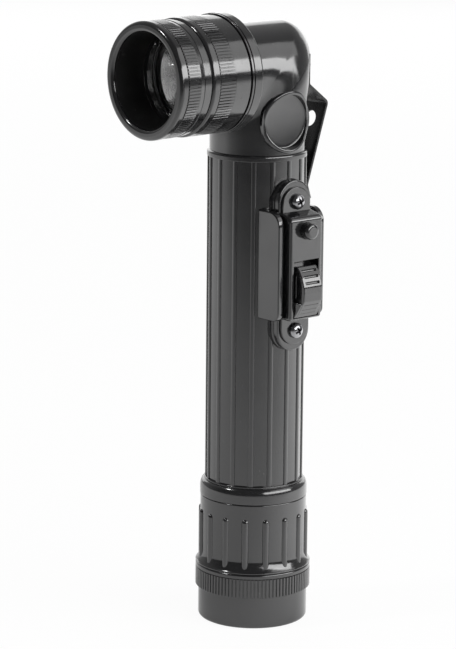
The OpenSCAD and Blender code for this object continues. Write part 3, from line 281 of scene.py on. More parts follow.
def cut(mesh, cutters):
    """The mesh without the space of each cutter."""
    for cutter in cutters:
        body = added("cut_body", mesh)
        tool = added("cut_tool", cutter)
        step = body.modifiers.new("cut", "BOOLEAN")
        step.operation = "DIFFERENCE"
        step.solver = "EXACT"
        step.object = tool
        mesh = evaluated_mesh(body)
        bpy.data.objects.remove(tool)
    mesh.set_sharp_from_angle(angle=radians(SHARP_DEG))
    return mesh


def block_mesh(name, low, high):
    """A plain box between two corners."""
    rows = [
        [(low[0], low[1], z), (high[0], low[1], z), (high[0], high[1], z), (low[0], high[1], z)]
        for z in (low[2], high[2])
    ]
    return skinned(name, rows)


def softened(node, width):
    """A copy of a drawn part in millimetres, merged, with its edges rounded as pressing rounds them."""
    bm = bmesh.new()
    bm.from_mesh(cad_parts[node].data)
    bmesh.ops.scale(bm, vec=(1 / MM, 1 / MM, 1 / MM), verts=bm.verts)
    bmesh.ops.remove_doubles(bm, verts=bm.verts, dist=0.002)
    bmesh.ops.dissolve_limit(
        bm, angle_limit=radians(0.8), verts=bm.verts, edges=bm.edges, delimit={"NORMAL"}
    )
    mesh = bpy.data.meshes.new(node + "_soft")
    bm.to_mesh(mesh)
    bm.free()
    for layer in list(mesh.attributes):
        if layer.name == "custom_normal":
            mesh.attributes.remove(layer)
    mesh.shade_smooth()
    obj = added(node + "_soft", mesh)
    step = obj.modifiers.new("edges", "BEVEL")
    step.width = width
    step.segments = 3
    step.limit_method = "ANGLE"
    step.angle_limit = radians(28)
    step.miter_outer = "MITER_ARC"
    mesh = evaluated_mesh(obj)
    mesh.set_sharp_from_angle(angle=radians(40))
    return mesh


# Repeats made by geometry nodes


def new_tree(name, **inputs):
    """A tree with named inputs for the piece, how many there are of it, its spacing and its finish."""
    tree = bpy.data.node_groups.new(name, "GeometryNodeTree")
    kinds = {"Piece": "Object", "Count": "Int", **inputs, "Finish": "Material"}
    for label, kind in kinds.items():
        label = label.replace("_", " ")
        tree.interface.new_socket(name=label, in_out="INPUT", socket_type="NodeSocket" + kind)
    tree.interface.new_socket(name="Geometry", in_out="OUTPUT", socket_type="NodeSocketGeometry")
    return tree, tree.nodes.new("NodeGroupInput"), tree.nodes.new("NodeGroupOutput")


def number(tree, operation, first, second=None):
    """A math node; each term is a socket or a number."""
    node = tree.nodes.new("ShaderNodeMath")
    node.operation = operation
    for place, term in enumerate((first, second)):
        if term is None:
            continue
        if isinstance(term, (int, float)):
            node.inputs[place].default_value = term
        else:
            tree.links.new(term, node.inputs[place])
    return node.outputs[0]


def map_range(tree, socket, low, high, to_low, to_high):
    """Takes a socket's values from one range to another, and holds them at the ends."""
    node = tree.nodes.new("ShaderNodeMapRange")
    tree.links.new(socket, node.inputs["Value"])
    ends = {"From Min": low, "From Max": high, "To Min": to_low, "To Max": to_high}
    for label, value in ends.items():
        node.inputs[label].default_value = value
    return node.outputs["Result"]


def end_of_tree(tree, given, out, points, turn=None):
    """Puts the repeated piece on the points, makes it real and gives it its finish."""
    link = tree.links.new
    info = tree.nodes.new("GeometryNodeObjectInfo")
    link(given.outputs["Piece"], info.inputs["Object"])
    copies = tree.nodes.new("GeometryNodeInstanceOnPoints")
    link(points, copies.inputs["Points"])
    link(info.outputs["Geometry"], copies.inputs["Instance"])
    if turn is not None:
        link(turn, copies.inputs["Rotation"])
    real = tree.nodes.new("GeometryNodeRealizeInstances")
    link(copies.outputs["Instances"], real.inputs["Geometry"])
    paint = tree.nodes.new("GeometryNodeSetMaterial")
    link(real.outputs["Geometry"], paint.inputs["Geometry"])
    link(given.outputs["Finish"], paint.inputs["Material"])
    link(paint.outputs["Geometry"], out.inputs["Geometry"])


def round_tree():
    """Copies of a piece, evenly spread round the upright axis, each turned to face outwards."""
    tree, given, out = new_tree("repeat_round_axis", Radius="Float", First_Turn="Float")
    link = tree.links.new
    points = tree.nodes.new("GeometryNodePoints")
    link(given.outputs["Count"], points.inputs["Count"])
    index = tree.nodes.new("GeometryNodeInputIndex").outputs[0]
    step = number(tree, "DIVIDE", FULL_TURN, given.outputs["Count"])
    angle = number(tree, "ADD", number(tree, "MULTIPLY", index, step), given.outputs["First Turn"])
    spot = tree.nodes.new("ShaderNodeCombineXYZ")
    for axis, wave in enumerate(("COSINE", "SINE")):
        reach = number(tree, "MULTIPLY", number(tree, wave, angle), given.outputs["Radius"])
        link(reach, spot.inputs[axis])
    link(spot.outputs[0], points.inputs["Position"])
    turn = tree.nodes.new("ShaderNodeCombineXYZ")
    link(angle, turn.inputs[2])
    end_of_tree(tree, given, out, points.outputs[0], turn.outputs[0])
    return tree


def line_tree():
    """Copies of a piece in equal steps along a straight line."""
    tree, given, out = new_tree("repeat_along_line", Start="Vector", Step="Vector")
    link = tree.links.new
    line = tree.nodes.new("GeometryNodeMeshLine")
    line.mode = "OFFSET"
    link(given.outputs["Count"], line.inputs["Count"])
    link(given.outputs["Start"], line.inputs["Start Location"])
    link(given.outputs["Step"], line.inputs["Offset"])
    end_of_tree(tree, given, out, line.outputs["Mesh"])
    return tree


def repeated(name, tree, single, finish, place=UPRIGHT, **sizes):
    """Makes one plain mesh by a repeat tree; the sizes are the tree's own inputs."""
    source = added(name + "_source", single)
    carrier = added(name + "_repeat", bpy.data.meshes.new(name))
    step = carrier.modifiers.new("repeat", "NODES")
    step.node_group = tree
    values = {"Piece": source, "Finish": finish, **sizes}
    for item in tree.interface.items_tree:
        if item.in_out == "INPUT":
            step[item.identifier] = values[item.name.replace(" ", "_")]
    mesh = evaluated_mesh(carrier)
    bpy.data.objects.remove(source)
    mesh.transform(place)
    return mesh


ROUND = round_tree()
LINE = line_tree()


# Finishes


class Finish:
    """A material's node tree, read by object coordinates."""

    def __init__(self, name, colour, rough, metallic=0.0, specular=0.5):
        self.material = bpy.data.materials.new(name)
        self.material.use_nodes = True
        self.material.diffuse_color = (*colour, 1)
        self.tree = self.material.node_tree
        self.shader = self.tree.nodes["Principled BSDF"]
        self.shader.inputs["Base Color"].default_value = (*colour, 1)
        self.shader.inputs["Roughness"].default_value = rough
        self.shader.inputs["Metallic"].default_value = metallic
        self.shader.inputs["Specular IOR Level"].default_value = specular
        self.where = self.tree.nodes.new("ShaderNodeTexCoord").outputs["Object"]
        # A plain value, or the socket of the last step that changed it
        self.colour = colour
        self.rough = rough
        self.normal = None

    def link(self, a, b):
        self.tree.links.new(a, b)

    def stretched(self, stretch):
        mapping = self.tree.nodes.new("ShaderNodeMapping")
        mapping.inputs["Scale"].default_value = stretch
        self.link(self.where, mapping.inputs["Vector"])
        return mapping.outputs["Vector"]

    def noise(self, size_mm, detail, stretch=None, distortion=0.0):
        node = self.tree.nodes.new("ShaderNodeTexNoise")
        node.inputs["Scale"].default_value = 1 / (size_mm * MM)
        node.inputs["Detail"].default_value = detail
        node.inputs["Distortion"].default_value = distortion
        self.link(self.stretched(stretch) if stretch else self.where, node.inputs["Vector"])
        return node.outputs["Fac"]

    def specks(self, size_mm, radius):
        """Small round spots, 1 inside and 0 outside."""
        node = self.tree.nodes.new("ShaderNodeTexVoronoi")
        node.inputs["Scale"].default_value = 1 / (size_mm * MM)
        self.link(self.where, node.inputs["Vector"])
        return self.ranged(node.outputs["Distance"], radius, radius * 0.6, 0, 1)

    def ranged(self, socket, low, high, to_low, to_high):
        return map_range(self.tree, socket, low, high, to_low, to_high)

    def patches(self, size_mm, detail, low, high, most, *shape):
        """Uneven patches, from 0 up to the most."""
        return self.ranged(self.noise(size_mm, detail, *shape), low, high, 0, most)

    def product(self, a, b):
        return number(self.tree, "MULTIPLY", a, b)

    def tint(self, share, colour):
        """Mixes a colour in by a share that varies over the surface."""
        node = self.tree.nodes.new("ShaderNodeMix")
        node.data_type = "RGBA"
        self.link(share, node.inputs["Factor"])
        if isinstance(self.colour, tuple):
            node.inputs[6].default_value = (*self.colour, 1)
        else:
            self.link(self.colour, node.inputs[6])
        node.inputs[7].default_value = (*colour, 1)
        self.colour = node.outputs[2]
        self.link(self.colour, self.shader.inputs["Base Color"])

    def roughen(self, amount):
        """Adds a varying amount to the roughness."""
        self.rough = number(self.tree, "ADD", self.rough, amount)
        self.link(self.rough, self.shader.inputs["Roughness"])

    def bump(self, height, depth_mm):
        node = self.tree.nodes.new("ShaderNodeBump")
        node.inputs["Distance"].default_value = depth_mm * MM
        self.link(height, node.inputs["Height"])
        if self.normal is not None:
            self.link(self.normal, node.inputs["Normal"])
        self.normal = node.outputs["Normal"]
        self.link(self.normal, self.shader.inputs["Normal"])


def moulded(name, colour, rough, grain, specular=0.9):
    """Moulded plastic with flow marks, fine scratches and a little dust."""
    dust = 0.35
    f = Finish(name, colour, rough, specular=specular)
    lighter = tuple(c * 1.9 for c in colour)
    f.tint(f.patches(9, 4, 0.35, 0.75, 0.5), lighter)
    scratch = f.patches(0.9, 2, 0.66, 0.74, 1, (1, 1, 0.05), 0.4)
    cross = f.patches(1.1, 2, 0.68, 0.75, 1, (0.06, 0.09, 1.2), 0.3)
    f.roughen(f.patches(5, 5, 0.3, 0.7, 0.07))
    f.roughen(f.product(scratch, 0.10))
    f.roughen(f.product(cross, 0.08))
    motes = f.product(f.specks(1.9, 0.045), f.patches(6, 2, 0.5, 0.62, 1))
    f.tint(f.product(motes, dust), (0.62, 0.61, 0.59))
    f.roughen(f.product(motes, 0.3))
    f.bump(f.noise(0.35, 2), grain)
    f.bump(f.noise(3.5, 2), grain * 6)
    return f.material


def metal(name, colour, rough, tarnish=None):
    """Drawn metal with fine lines along it and duller patches."""
    brushed = (1, 1, 0.08)
    f = Finish(name, colour, rough, metallic=1.0)
    f.roughen(f.patches(0.5, 3, 0.3, 0.7, 0.14, brushed))
    f.tint(f.patches(2.5, 4, 0.45, 0.75, 0.55), tarnish or tuple(c * 0.6 for c in colour))
    f.bump(f.noise(0.25, 2, brushed), 0.002)
    return f.material


def painted(name, colour, rough):
    """Enamel on sheet metal, with orange peel and worn spots."""
    f = Finish(name, colour, rough)
    worn = f.patches(2.2, 6, 0.70, 0.76, 0.7)
    f.tint(f.patches(7, 3, 0.4, 0.8, 0.4), tuple(c * 1.8 for c in colour))
    f.tint(worn, (0.22, 0.21, 0.20))
    f.roughen(f.product(worn, 0.2))
    f.roughen(f.patches(1.5, 3, 0.3, 0.7, 0.08))
    f.bump(f.noise(0.7, 1), 0.004)
    return f.material


def rubbery(name, colour):
    """Soft seal rubber with a grey bloom."""
    f = Finish(name, colour, 0.62, specular=0.35)
    f.tint(f.patches(1.5, 4, 0.4, 0.7, 0.5), tuple(c * 2.2 for c in colour))
    f.bump(f.noise(0.2, 3), 0.01)
    return f.material


def clear(name, colour, rough, ior):
    """Clear plastic or glass."""
    f = Finish(name, colour, rough)
    f.shader.inputs["Transmission Weight"].default_value = 1.0
    f.shader.inputs["IOR"].default_value = ior
    f.roughen(f.patches(4, 4, 0.5, 0.8, 0.02))
    f.bump(f.noise(3.0, 1), 0.0001)
    return f.material


def bowl_silver(name):
    """Vacuum metal on a moulded bowl, with the faint waves of the moulding."""
    f = Finish(name, (0.96, 0.96, 0.96), 0.04, metallic=1.0)
    f.roughen(f.patches(2.2, 3, 0.4, 0.7, 0.05))
    f.tint(f.specks(1.6, 0.04), (0.6, 0.6, 0.6))
    f.bump(f.noise(4.0, 2), 0.003)
    return f.material


def cell_can(name):
    """A cell's sleeve: a dark body, a copper band at the top and bare steel at the ends."""
    f = Finish(name, (0.045, 0.05, 0.055), 0.3)
    height = f.tree.nodes.new("ShaderNodeSeparateXYZ")
    f.link(f.where, height.inputs[0])
    for foot in (20.0, 70.5):
        band = f.product(
            f.ranged(height.outputs["Z"], (foot + 36) * MM, (foot + 36.2) * MM, 0, 1),
            f.ranged(height.outputs["Z"], (foot + 48.4) * MM, (foot + 48.6) * MM, 1, 0),
        )
        f.tint(band, (0.55, 0.26, 0.10))
    f.roughen(f.patches(2, 3, 0.3, 0.7, 0.12))
    f.bump(f.noise(0.6, 2), 0.003)
    return f.material


def fibre(name):
    """Pressed fibre board with dark strands."""
    f = Finish(name, (0.36, 0.25, 0.14), 0.7)
    f.tint(f.patches(0.4, 5, 0.4, 0.7, 0.8, (1, 0.15, 1)), (0.20, 0.13, 0.07))
    f.bump(f.noise(0.15, 3), 0.01)
    return f.material


def filter_sheet(name, colour, rough):
    """Thin coloured plastic."""
    f = Finish(name, colour, rough)
    f.shader.inputs["Transmission Weight"].default_value = 0.85
    f.roughen(f.patches(3, 3, 0.4, 0.7, 0.08))
    f.bump(f.noise(0.8, 3), 0.002)
    return f.material


# Each finish by its slot's name: the maker, then what it needs
FINISHES = {}
for name, make, *values in (
    ("black_plastic", moulded, (0.008, 0.008, 0.0085), 0.11, 0.0015),
    ("switch_plastic", moulded, (0.009, 0.009, 0.0095), 0.09, 0.001),
    ("matt_black", moulded, (0.006, 0.006, 0.006), 0.5, 0.004, 0.25),
    ("dark_steel", metal, (0.30, 0.30, 0.31), 0.10),
    ("clip_paint", painted, (0.010, 0.010, 0.0105), 0.22),
    ("brass", metal, (0.72, 0.50, 0.22), 0.28, (0.40, 0.25, 0.10)),
    ("fibre_board", fibre),
    ("bright_steel", metal, (0.62, 0.62, 0.63), 0.22),
    ("lamp_dome", clear, (0.96, 0.96, 0.93), 0.02, 1.52),
    ("cell_can", cell_can),
    ("seal_rubber", rubbery, (0.014, 0.014, 0.014)),
    ("clear_lens", clear, (0.99, 0.99, 0.99), 0.0, 1.49),
    ("bright_bowl", bowl_silver),
    ("red_filter", filter_sheet, (0.62, 0.02, 0.02), 0.12),
    ("amber_filter", filter_sheet, (0.80, 0.36, 0.03), 0.12),
    ("blue_filter", filter_sheet, (0.03, 0.10, 0.55), 0.12),
    ("frosted_filter", filter_sheet, (0.80, 0.82, 0.83), 0.45),
):
    FINISHES[name] = make(name, *values)


def piece(name, meshes, body, slot, *nodes, finish=None):
    """Joins the meshes, takes them to metres, gives the finish and puts the piece on its body."""
    mesh = joined(name, meshes)
    mesh.transform(Matrix.Scale(MM, 4))
    mesh.materials.clear()
    mesh.materials.append(FINISHES[finish or slot])
    obj = added(name + "_dressed", mesh)
    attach(obj, body)
    if nodes:
        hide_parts(*nodes)


# Knurls and ribs


def knurl_tooth(length, width, height, taper):
    """One straight ridge of a knurl, pointing along X, with slanted ends."""
    sunk = 0.12
    rows = []
    for z, share in ((0, 0.0), (taper, 1.0), (length - taper, 1.0), (length, 0.0)):
        top = height * share
        half = [(-sunk, width * 0.5), (top * 0.75, width * 0.42), (top, width * 0.33)]
        rows.append([(x, -y, z) for x, y in half] + [(x, y, z) for x, y in reversed(half)])
    return skinned("knurl_tooth", rows, sharp_deg=25)


def knurl(name, count, core_r, height, low, length, place, taper):
    """A ring of straight ridges on a core; a ridge takes most of its share of the way round."""
    ridge_share = 0.86
    tooth = knurl_tooth(length, FULL_TURN * core_r / count * ridge_share, height, taper)
    place = place @ Matrix.Translation((0, 0, low))
    sizes = {"Radius": core_r, "Count": count, "First_Turn": 0.0}
    return repeated(name, ROUND, tooth, FINISHES["black_plastic"], place, **sizes)


def grip_rib(radius, length):
    """One half-round rib with a ball-shaped upper end; the lower end is cut short by the flare."""
    sides = 20
    steps = 8
    ball = radius * 1.1
    stations = [(radius * 0.92, 0.0), (radius, 0.25), (radius, length - ball)]
    stations += dome(radius, length - ball, ball, steps)[:-1]
    stations.append((radius * 0.06, length))
    turns = [FULL_TURN * j / sides for j in range(sides)]
    rows = [[(r * cos(a), r * sin(a), z) for a in turns] for r, z in stations]
    return skinned("grip_rib", rows, sharp_deg=40)


# Base cup and battery cap


def base_cup():
    wall = rounded([
        (0, 0, 0), (13.35, 0, 0.9), (13.35, 7.78, 0.12), (13.85, 7.92, 0.08),
        (13.85, 12.7, 0.05), (14.1, 12.8, 0.12), (14.1, 13.96, 0.5), (13.4, 13.96, 0.05),
        (11.7, 13.96, 0.15), (11.68, 1.6, 0.3), (0, 1.6, 0),
    ])
    teeth = knurl("cup_knurl", 96, 13.83, 0.27, 7.98, 4.75, UPRIGHT, taper=0.12)
    piece("base_cup", [lathe("cup_wall", wall), teeth], "cup_body", "black_plastic", "base_cup")


def battery_cap():
    """The ribbed cap: its wall flares out softly towards the foot."""
    wall_r = 13.0
    flare_reach = 0.97
    flare_foot = 14.38
    flare_height = 2.6
    steps = 16
    flare = [(11.6, 14.0), (13.98, 14.0), (14.07, 14.03), (14.1, 14.1), (14.1, 14.24), (14.05, 14.33)]
    for k in range(steps + 1):
        u = 1 - k / steps
        flare.append((wall_r + flare_reach * u**1.7, flare_foot + flare_height * (1 - u)))
    shell = flare + [
        (13.0, 17.1), (13.0, 30.75), (13.0, 30.9), (12.96, 31.02), (12.86, 31.12),
        (12.74, 31.16), (11.25, 31.16), (11.25, 19.6), (10.0, 19.6), (10.0, 15.2), (0, 15.2),
        (0, 13.8), (10.4, 13.8), (10.4, 10.2), (11.4, 10.2), (11.45, 10.3), (11.45, 13.9),
    ]
    count = 16
    sizes = {"Count": count, "Radius": 12.65, "First_Turn": 0.78 * FULL_TURN / count}
    place = Matrix.Translation((0, 0, 14.6))
    ribs = repeated("cap_ribs", ROUND, grip_rib(0.9, 13.0), FINISHES["black_plastic"], place, **sizes)
    parts = [lathe("cap_shell", shell, 180), ribs, thread("cup_thread", 11.42, 11.58, 10.6, 13.4)]
    piece("battery_cap", parts, "cap_body", "black_plastic", "battery_cap")


# Battery tube


def tube_outline():
    """Sixteen flats with a fine half-round rib between each two."""
    sides = 16
    half = pi / sides
    flat_r = 11.5
    crest_r = 11.95
    half_w = 0.62
    support = 0.04
    steps = 8
    foot = (flat_r - half_w * sin(half)) / cos(half)
    rib = [(foot, -half_w - support)]
    for j in range(steps + 1):
        t = pi * j / steps
        rib.append((foot + (crest_r - foot) * sin(t) ** 0.8, -half_w * cos(t)))
    rib.append((foot, half_w + support))
    points = []
    for k in range(sides):
        c, s = cos(FULL_TURN * k / sides), sin(FULL_TURN * k / sides)
        points += [Vector((u * c - v * s, u * s + v * c)) for u, v in rib]
    return points


def battery_tube():
    outline = tube_outline()
    rows = [[(x, y, z) for x, y in outline] for z in (34.6, 60.0, 88.0, 115.4)]
    shaft = skinned("tube_shaft", rows, sharp_deg=38)
    steps = 12
    # The collar's shoulder is most of a quarter of an ellipse
    collar = [(9.9, 31.18), (12.85, 31.18), (13.02, 31.24), (13.1, 31.36)]
    for k in range(steps + 1):
        a = radians(82) * k / steps
        collar.append((12.15 + 0.95 * cos(a), 33.1 + 1.9 * sin(a)))
    collar += rounded([(12.2, 34.98, 0), (12.1, 35.0, 0.05), (12.2, 35.5, 0.24), (9.9, 35.52, 0)])[1:]
    rim = rounded([(9.9, 115.0, 0), (12.05, 115.0, 0.15), (12.05, 116.5, 0.55), (9.9, 116.5, 0)])
    spigot = [(9.9, 20.3), (10.9, 20.3), (11.05, 20.5), (11.05, 33.0), (9.9, 33.0)]
    seat = slab("switch_seat", stadium(5.2, SCREW_LOW, SCREW_TOP), 8.0, 12.4, 0, 0.55, outward)
    bore = plug(9.7, 15, 119, 96)
    window = block_mesh("tube_window", (7, -2.4, 78.5), (13, 2.4, 101.7))
    seat = cut(seat, [bore.copy(), window.copy()] + screw_holes(10.3, 14))
    shaft = cut(shaft, [bore, window])
    guides = []
    for turn in range(4):
        guide = block_mesh("guide", (7.6, -0.8, 20.9), (9.9, 0.8, 108.0))
        guide.transform(Matrix.Rotation(radians(45 + 90 * turn), 4, "Z"))
        guides.append(guide)
    parts = [shaft, lathe("tube_collar", collar, 180), lathe("tube_rim", rim, 180)]
    parts += [lathe("tube_spigot", spigot), thread("cap_thread", 11.02, 11.19, 21.2, 30.2), seat]
    parts += guides
    piece("battery_tube", parts, "housing", "black_plastic", "battery_tube")


# Elbow


def eased(share):
    """Goes from 0 to 1 with a soft start and end."""
    share = min(1.0, max(0.0, share))
    return share * share * (3 - 2 * share)


def elbow_skin():
    """Each fibre of the skin runs up the neck, round the bend and forward into the flange."""
    fibres = 144
    end = FLANGE_FRONT - 0.6
    # The neck swells towards the bend, most at the back
    foot_z, foot_r = NECK_Z - 0.4, 11.45
    front_r, back_more = 11.55, 0.75
    level_r = 11.35

    def row_at(stretch, share):
        row = []
        for j in range(fibres):
            t = FULL_TURN * j / fibres
            c, s = cos(t), sin(t)
            top = front_r + back_more * eased((c + 0.5) / 0.8)
            # The bend is tight in front and wide at the back
            bend_r = 4.0 + 2.0 * c
            turn_z = LAMP_Z + level_r * c - bend_r
            if stretch == "neck":
                wide = foot_r + (top - foot_r) * eased(share)
                row.append((wide * s, wide * c, foot_z + (turn_z - foot_z) * share))
            elif stretch == "bend":
                a = radians(90) * share
                wide = top + (level_r - top) * share
                y = max(top * c - bend_r + bend_r * cos(a), -end + 0.02 * (1 - share))
                row.append((wide * s, y, turn_z + bend_r * sin(a)))
            else:
                y = max(top * c - bend_r, -end + 0.01)
                row.append((level_r * s, y + (-end - y) * share, LAMP_Z + level_r * c))
        return row

    rows = [row_at("neck", k / 7) for k in range(7)]
    rows += [row_at("bend", k / 22) for k in range(23)]
    rows += [row_at("level", k / 4) for k in range(1, 5)]
    return skinned("elbow_skin", rows, sharp_deg=45)


def side_pad(side):
    """The round pad with a raised rim that follows the elbow's curve and a dished face."""
    # The rim's (radius, depth below the elbow's curve), then the dish's (x, radius)
    crest = [
        (6.50, 0.50), (6.53, 0.26), (6.60, 0.11), (6.72, 0.03), (6.88, 0.0), (7.18, 0.0),
        (7.34, 0.05), (7.44, 0.16), (7.49, 0.32), (7.51, 0.60),
    ]
    dish = [(9.93 + 0.16 * (k / 9) ** 2, 6.2 * k / 9) for k in range(10)]
    dish += [(10.13, 6.36), (10.22, 6.45), (10.32, 6.48)]
    skin_r = 12.42
    least_x = 10.33
    root = [(9.7, 7.51), (9.7, 0)]
    sides = 120
    rows = []
    for j in range(sides):
        c, s = cos(FULL_TURN * j / sides), sin(FULL_TURN * j / sides)
        rim = [(max(sqrt(skin_r**2 - (r * c) ** 2) - drop, least_x), r) for r, drop in crest]
        rows.append([(side * x, r * c + PAD_Y, PAD_Z + r * s) for x, r in dish + rim + root])
    return skinned("side_pad", rows, sharp_deg=40, wrapped=True)


def elbow():
    lamp_well = plug(9.6, 10.9, 30, 96, LAMP)
    socket_well = plug(6.55, -3.0, 12, 64, LAMP)
    cell_well = plug(8.0, 100, 127, 64)
    wells = [lamp_well, socket_well, cell_well]
    for side in (1, -1):
        pit = plug(6.8, 9.75, 16, 96, Matrix.Translation((0, PAD_Y, 0)) @ switch_side(PAD_Z))
        if side < 0:
            pit.transform(Matrix.Scale(-1, 4, (1, 0, 0)))
            pit.flip_normals()
        wells.append(pit)
    shell = cut(elbow_skin(), wells)
    shell.set_sharp_from_angle(angle=radians(40))
    profile = rounded([
        (9.7, 10.4, 0), (13.75, 10.4, 0.12), (13.8, 10.72, 0.1), (14.3, 10.95, 0.35),
        (14.3, 13.28, 0.08), (14.08, 13.3, 0.05), (14.08, 13.5, 0.05),
        (14.25, 13.52, 0.08), (14.25, 14.08, 0.1), (13.22, 14.1, 0), (13.2, 13.5, 0),
        (12.5, 13.5, 0), (12.35, 14.1, 0), (12.15, 14.4, 0), (12.15, 19.8, 0.2),
        (11.2, 20.0, 0.1), (11.2, 14.1, 0), (9.7, 14.1, 0),
    ], steps=4, support=0.02)
    flange = lathe("flange", profile, 180, LAMP)
    screw = thread("head_thread", 12.12, 12.38, 15.0, 19.4, LAMP, 96)
    seat = slab("clip_seat", rectangle(4.7, 131.3, 139.3, 0.5), 8.2, 12.18, 0, 0.3, across)
    spigot = lathe("neck_spigot", [(8.05, 109.0), (9.62, 109.0), (9.62, 117.5), (8.05, 117.5)], 96)
    parts = [shell, flange, screw, seat, spigot, side_pad(1), side_pad(-1)]
    piece("elbow_housing", parts, "housing", "black_plastic", "elbow_housing")


# Head


def lens_ring():
    wall = rounded([
        (12.46, 14.32, 0.1), (13.96, 14.32, 0.15), (14.0, 18.9, 0.3), (13.76, 20.2, 0.3),
        (13.76, 23.70, 0.06), (14.05, 23.82, 0.15), (14.05, 25.88, 0.7),
        (12.72, 25.88, 0.1), (12.70, 23.5, 0), (10.9, 23.5, 0.15), (10.9, 22.7, 0.1),
        (12.46, 22.7, 0),
    ], support=0.03)
    teeth = knurl("ring_knurl", 112, 13.74, 0.28, 18.9, 4.82, LAMP, taper=0.14)
    parts = [lathe("ring_wall", wall, 180, LAMP), teeth]
    piece("lens_ring", parts, "ring_body", "black_plastic", "lens_ring")


def front_hood():
    wall = rounded([
        (11.0, 23.72, 0.1), (12.3, 23.72, 0.1), (12.3, 25.95, 0), (13.6, 25.95, 0.1),
        (13.68, 26.3, 0.4), (13.78, 28.2, 0.05), (13.68, 28.32, 0.05), (13.8, 29.4, 0.3),
        (13.6, 30.3, 0.3), (13.6, 32.98, 0.05), (13.55, 33.05, 0.05), (13.55, 33.30, 0.05),
        (13.95, 33.34, 0.1), (13.95, 35.4, 0.95), (11.42, 35.4, 0.85), (11.4, 25.9, 0.1),
        (11.05, 25.2, 0.1),
    ], steps=7, support=0.03)
    teeth = knurl("hood_knurl", 112, 13.58, 0.24, 29.3, 3.7, LAMP, taper=0.14)
    screw = thread("hood_thread", 12.28, 12.56, 23.9, 25.6, LAMP, 96)
    parts = [lathe("hood_wall", wall, 180, LAMP), teeth, screw]
    piece("front_bezel", parts, "hood_body", "black_plastic", "front_bezel")
    sleeve = [(11.37, 26.0), (11.55, 26.0), (11.55, 34.5), (11.41, 34.5), (11.37, 34.4)]
    liner = lathe("hood_sleeve", sleeve, place=LAMP)
    piece("hood_inside", [liner], "hood_body", "black_plastic", finish="matt_black")


def lamp_window():
    """The lens: a clear disc with a chamfered edge."""
    disc = rounded([(0, 21.5, 0), (12.2, 21.5, 0.2), (12.2, 22.7, 0.2), (0, 22.7, 0)])
    piece("lens", [lathe("lens_disc", disc, 128, LAMP)], "lens_stack", "clear_lens", "lens")


def bowl():
    """The reflector: a parabola of revolution with a flange and a rolled edge."""
    steps = 28
    neck, rim_r = 3.0, 10.4
    pole = 11.5
    four_focal = 11.506
    wall = 0.9
    foot = 11.6
    radii = [neck + (rim_r - neck) * k / steps for k in range(steps + 1)]
    inner = [(r, pole + r * r / four_focal) for r in radii]
    outer = [(r + wall, s) for r, s in reversed(inner) if s < 20.0]
    profile = [(neck, foot)] + inner + [
        (10.62, 20.9), (12.15, 20.9), (12.2, 20.85), (12.2, 20.12), (10.9, 20.1),
    ]
    profile += outer + [(neck + wall, foot)]
    piece("reflector", [lathe("bowl", profile, 128, LAMP)], "lens_stack", "bright_bowl", "reflector")


def lamp():
    """The lamp: a clear dome over a cup with a small chip."""
    glass = [(0, 11.0), (2.55, 11.0), (2.45, 11.5), (2.45, 13.1)] + dome(2.45, 13.1, 2.48, 12)
    piece("led_bulb", [lathe("dome", glass, 64, LAMP)], "housing", "lamp_dome", "led_bulb")
    cup = [(0, 11.1), (1.5, 11.1), (1.55, 12.2), (1.7, 12.9), (1.2, 12.9), (0.8, 12.3), (0, 12.3)]
    square = rectangle(0.5, -0.5, 0.5, 0.08)
    chip = slab("chip", square, 12.3, 12.55, 0, 0.05, lambda u, v, w: (u, -w, LAMP_Z + v))
    piece("lamp_cup", [lathe("lamp_cup", cup, 48, LAMP), chip], "housing", "bright_steel")


# Switch


def cross_screw():
    """A domed cross-head screw, drawn about the upright axis with its seat at zero."""
    profile = [(0, -2.0), (1.2, -2.0), (1.2, 0.0), (1.82, 0.0), (1.9, 0.08), (1.9, 0.35)]
    head = lathe("screw_head", profile + dome(1.9, 0.4, 1.2, 11), 48)
    slots = []
    for turn in (25, 115):
        bar = block_mesh("cross_bar", (-1.05, -0.27, 0.35), (1.05, 0.27, 3.0))
        bar.transform(Matrix.Rotation(radians(turn), 4, "Z"))
        slots.append(bar)
    head = cut(head, slots)
    head.transform(Matrix.Rotation(radians(90), 4, "Y"))
    return head


def switch_guard():
    """The base plate with a fence on each side; the fences' outer faces lean in towards the edge."""
    foot_x, edge_x = 7.6, 16.35
    inner_y, outer_y = 5.65, 7.55
    lean = 0.045
    fence = rounded(
        [(foot_x, 77.4, 0.5), (edge_x, 77.4, 2.0), (edge_x, 103.7, 3.5), (foot_x, 103.7, 0.5)], steps=9
    )
    saddle = plug(12.0, 60, 120, 96)
    parts = []
    for low, high in ((inner_y, outer_y), (-outer_y, -inner_y)):
        wall = slab("fence", fence, low, high, 0.3, 0.3, across, steps=5)
        for vertex in wall.vertices:
            if abs(vertex.co.y) > (inner_y + outer_y) / 2:
                vertex.co.y *= 1 - lean * (vertex.co.x - foot_x) / (edge_x - foot_x)
        parts.append(cut(wall, [saddle.copy()]))
    window = block_mesh("guard_window", (7, -2.5, 78.0), (15, 2.5, 102.3))
    plate = slab("plate", stadium(5.1, SCREW_LOW, SCREW_TOP), 12.42, 13.8, 0.05, 0.4, outward, steps=5)
    parts.append(cut(plate, screw_holes(10, 15) + [window.copy()]))
    floor = slab("fence_floor", rectangle(5.8, 77.6, 103.4, 0.3), 11.0, 13.6, 0, 0.1, outward)
    parts.append(cut(floor, [saddle, window]))
    piece("switch_guard", parts, "housing", "black_plastic", "switch_guard")


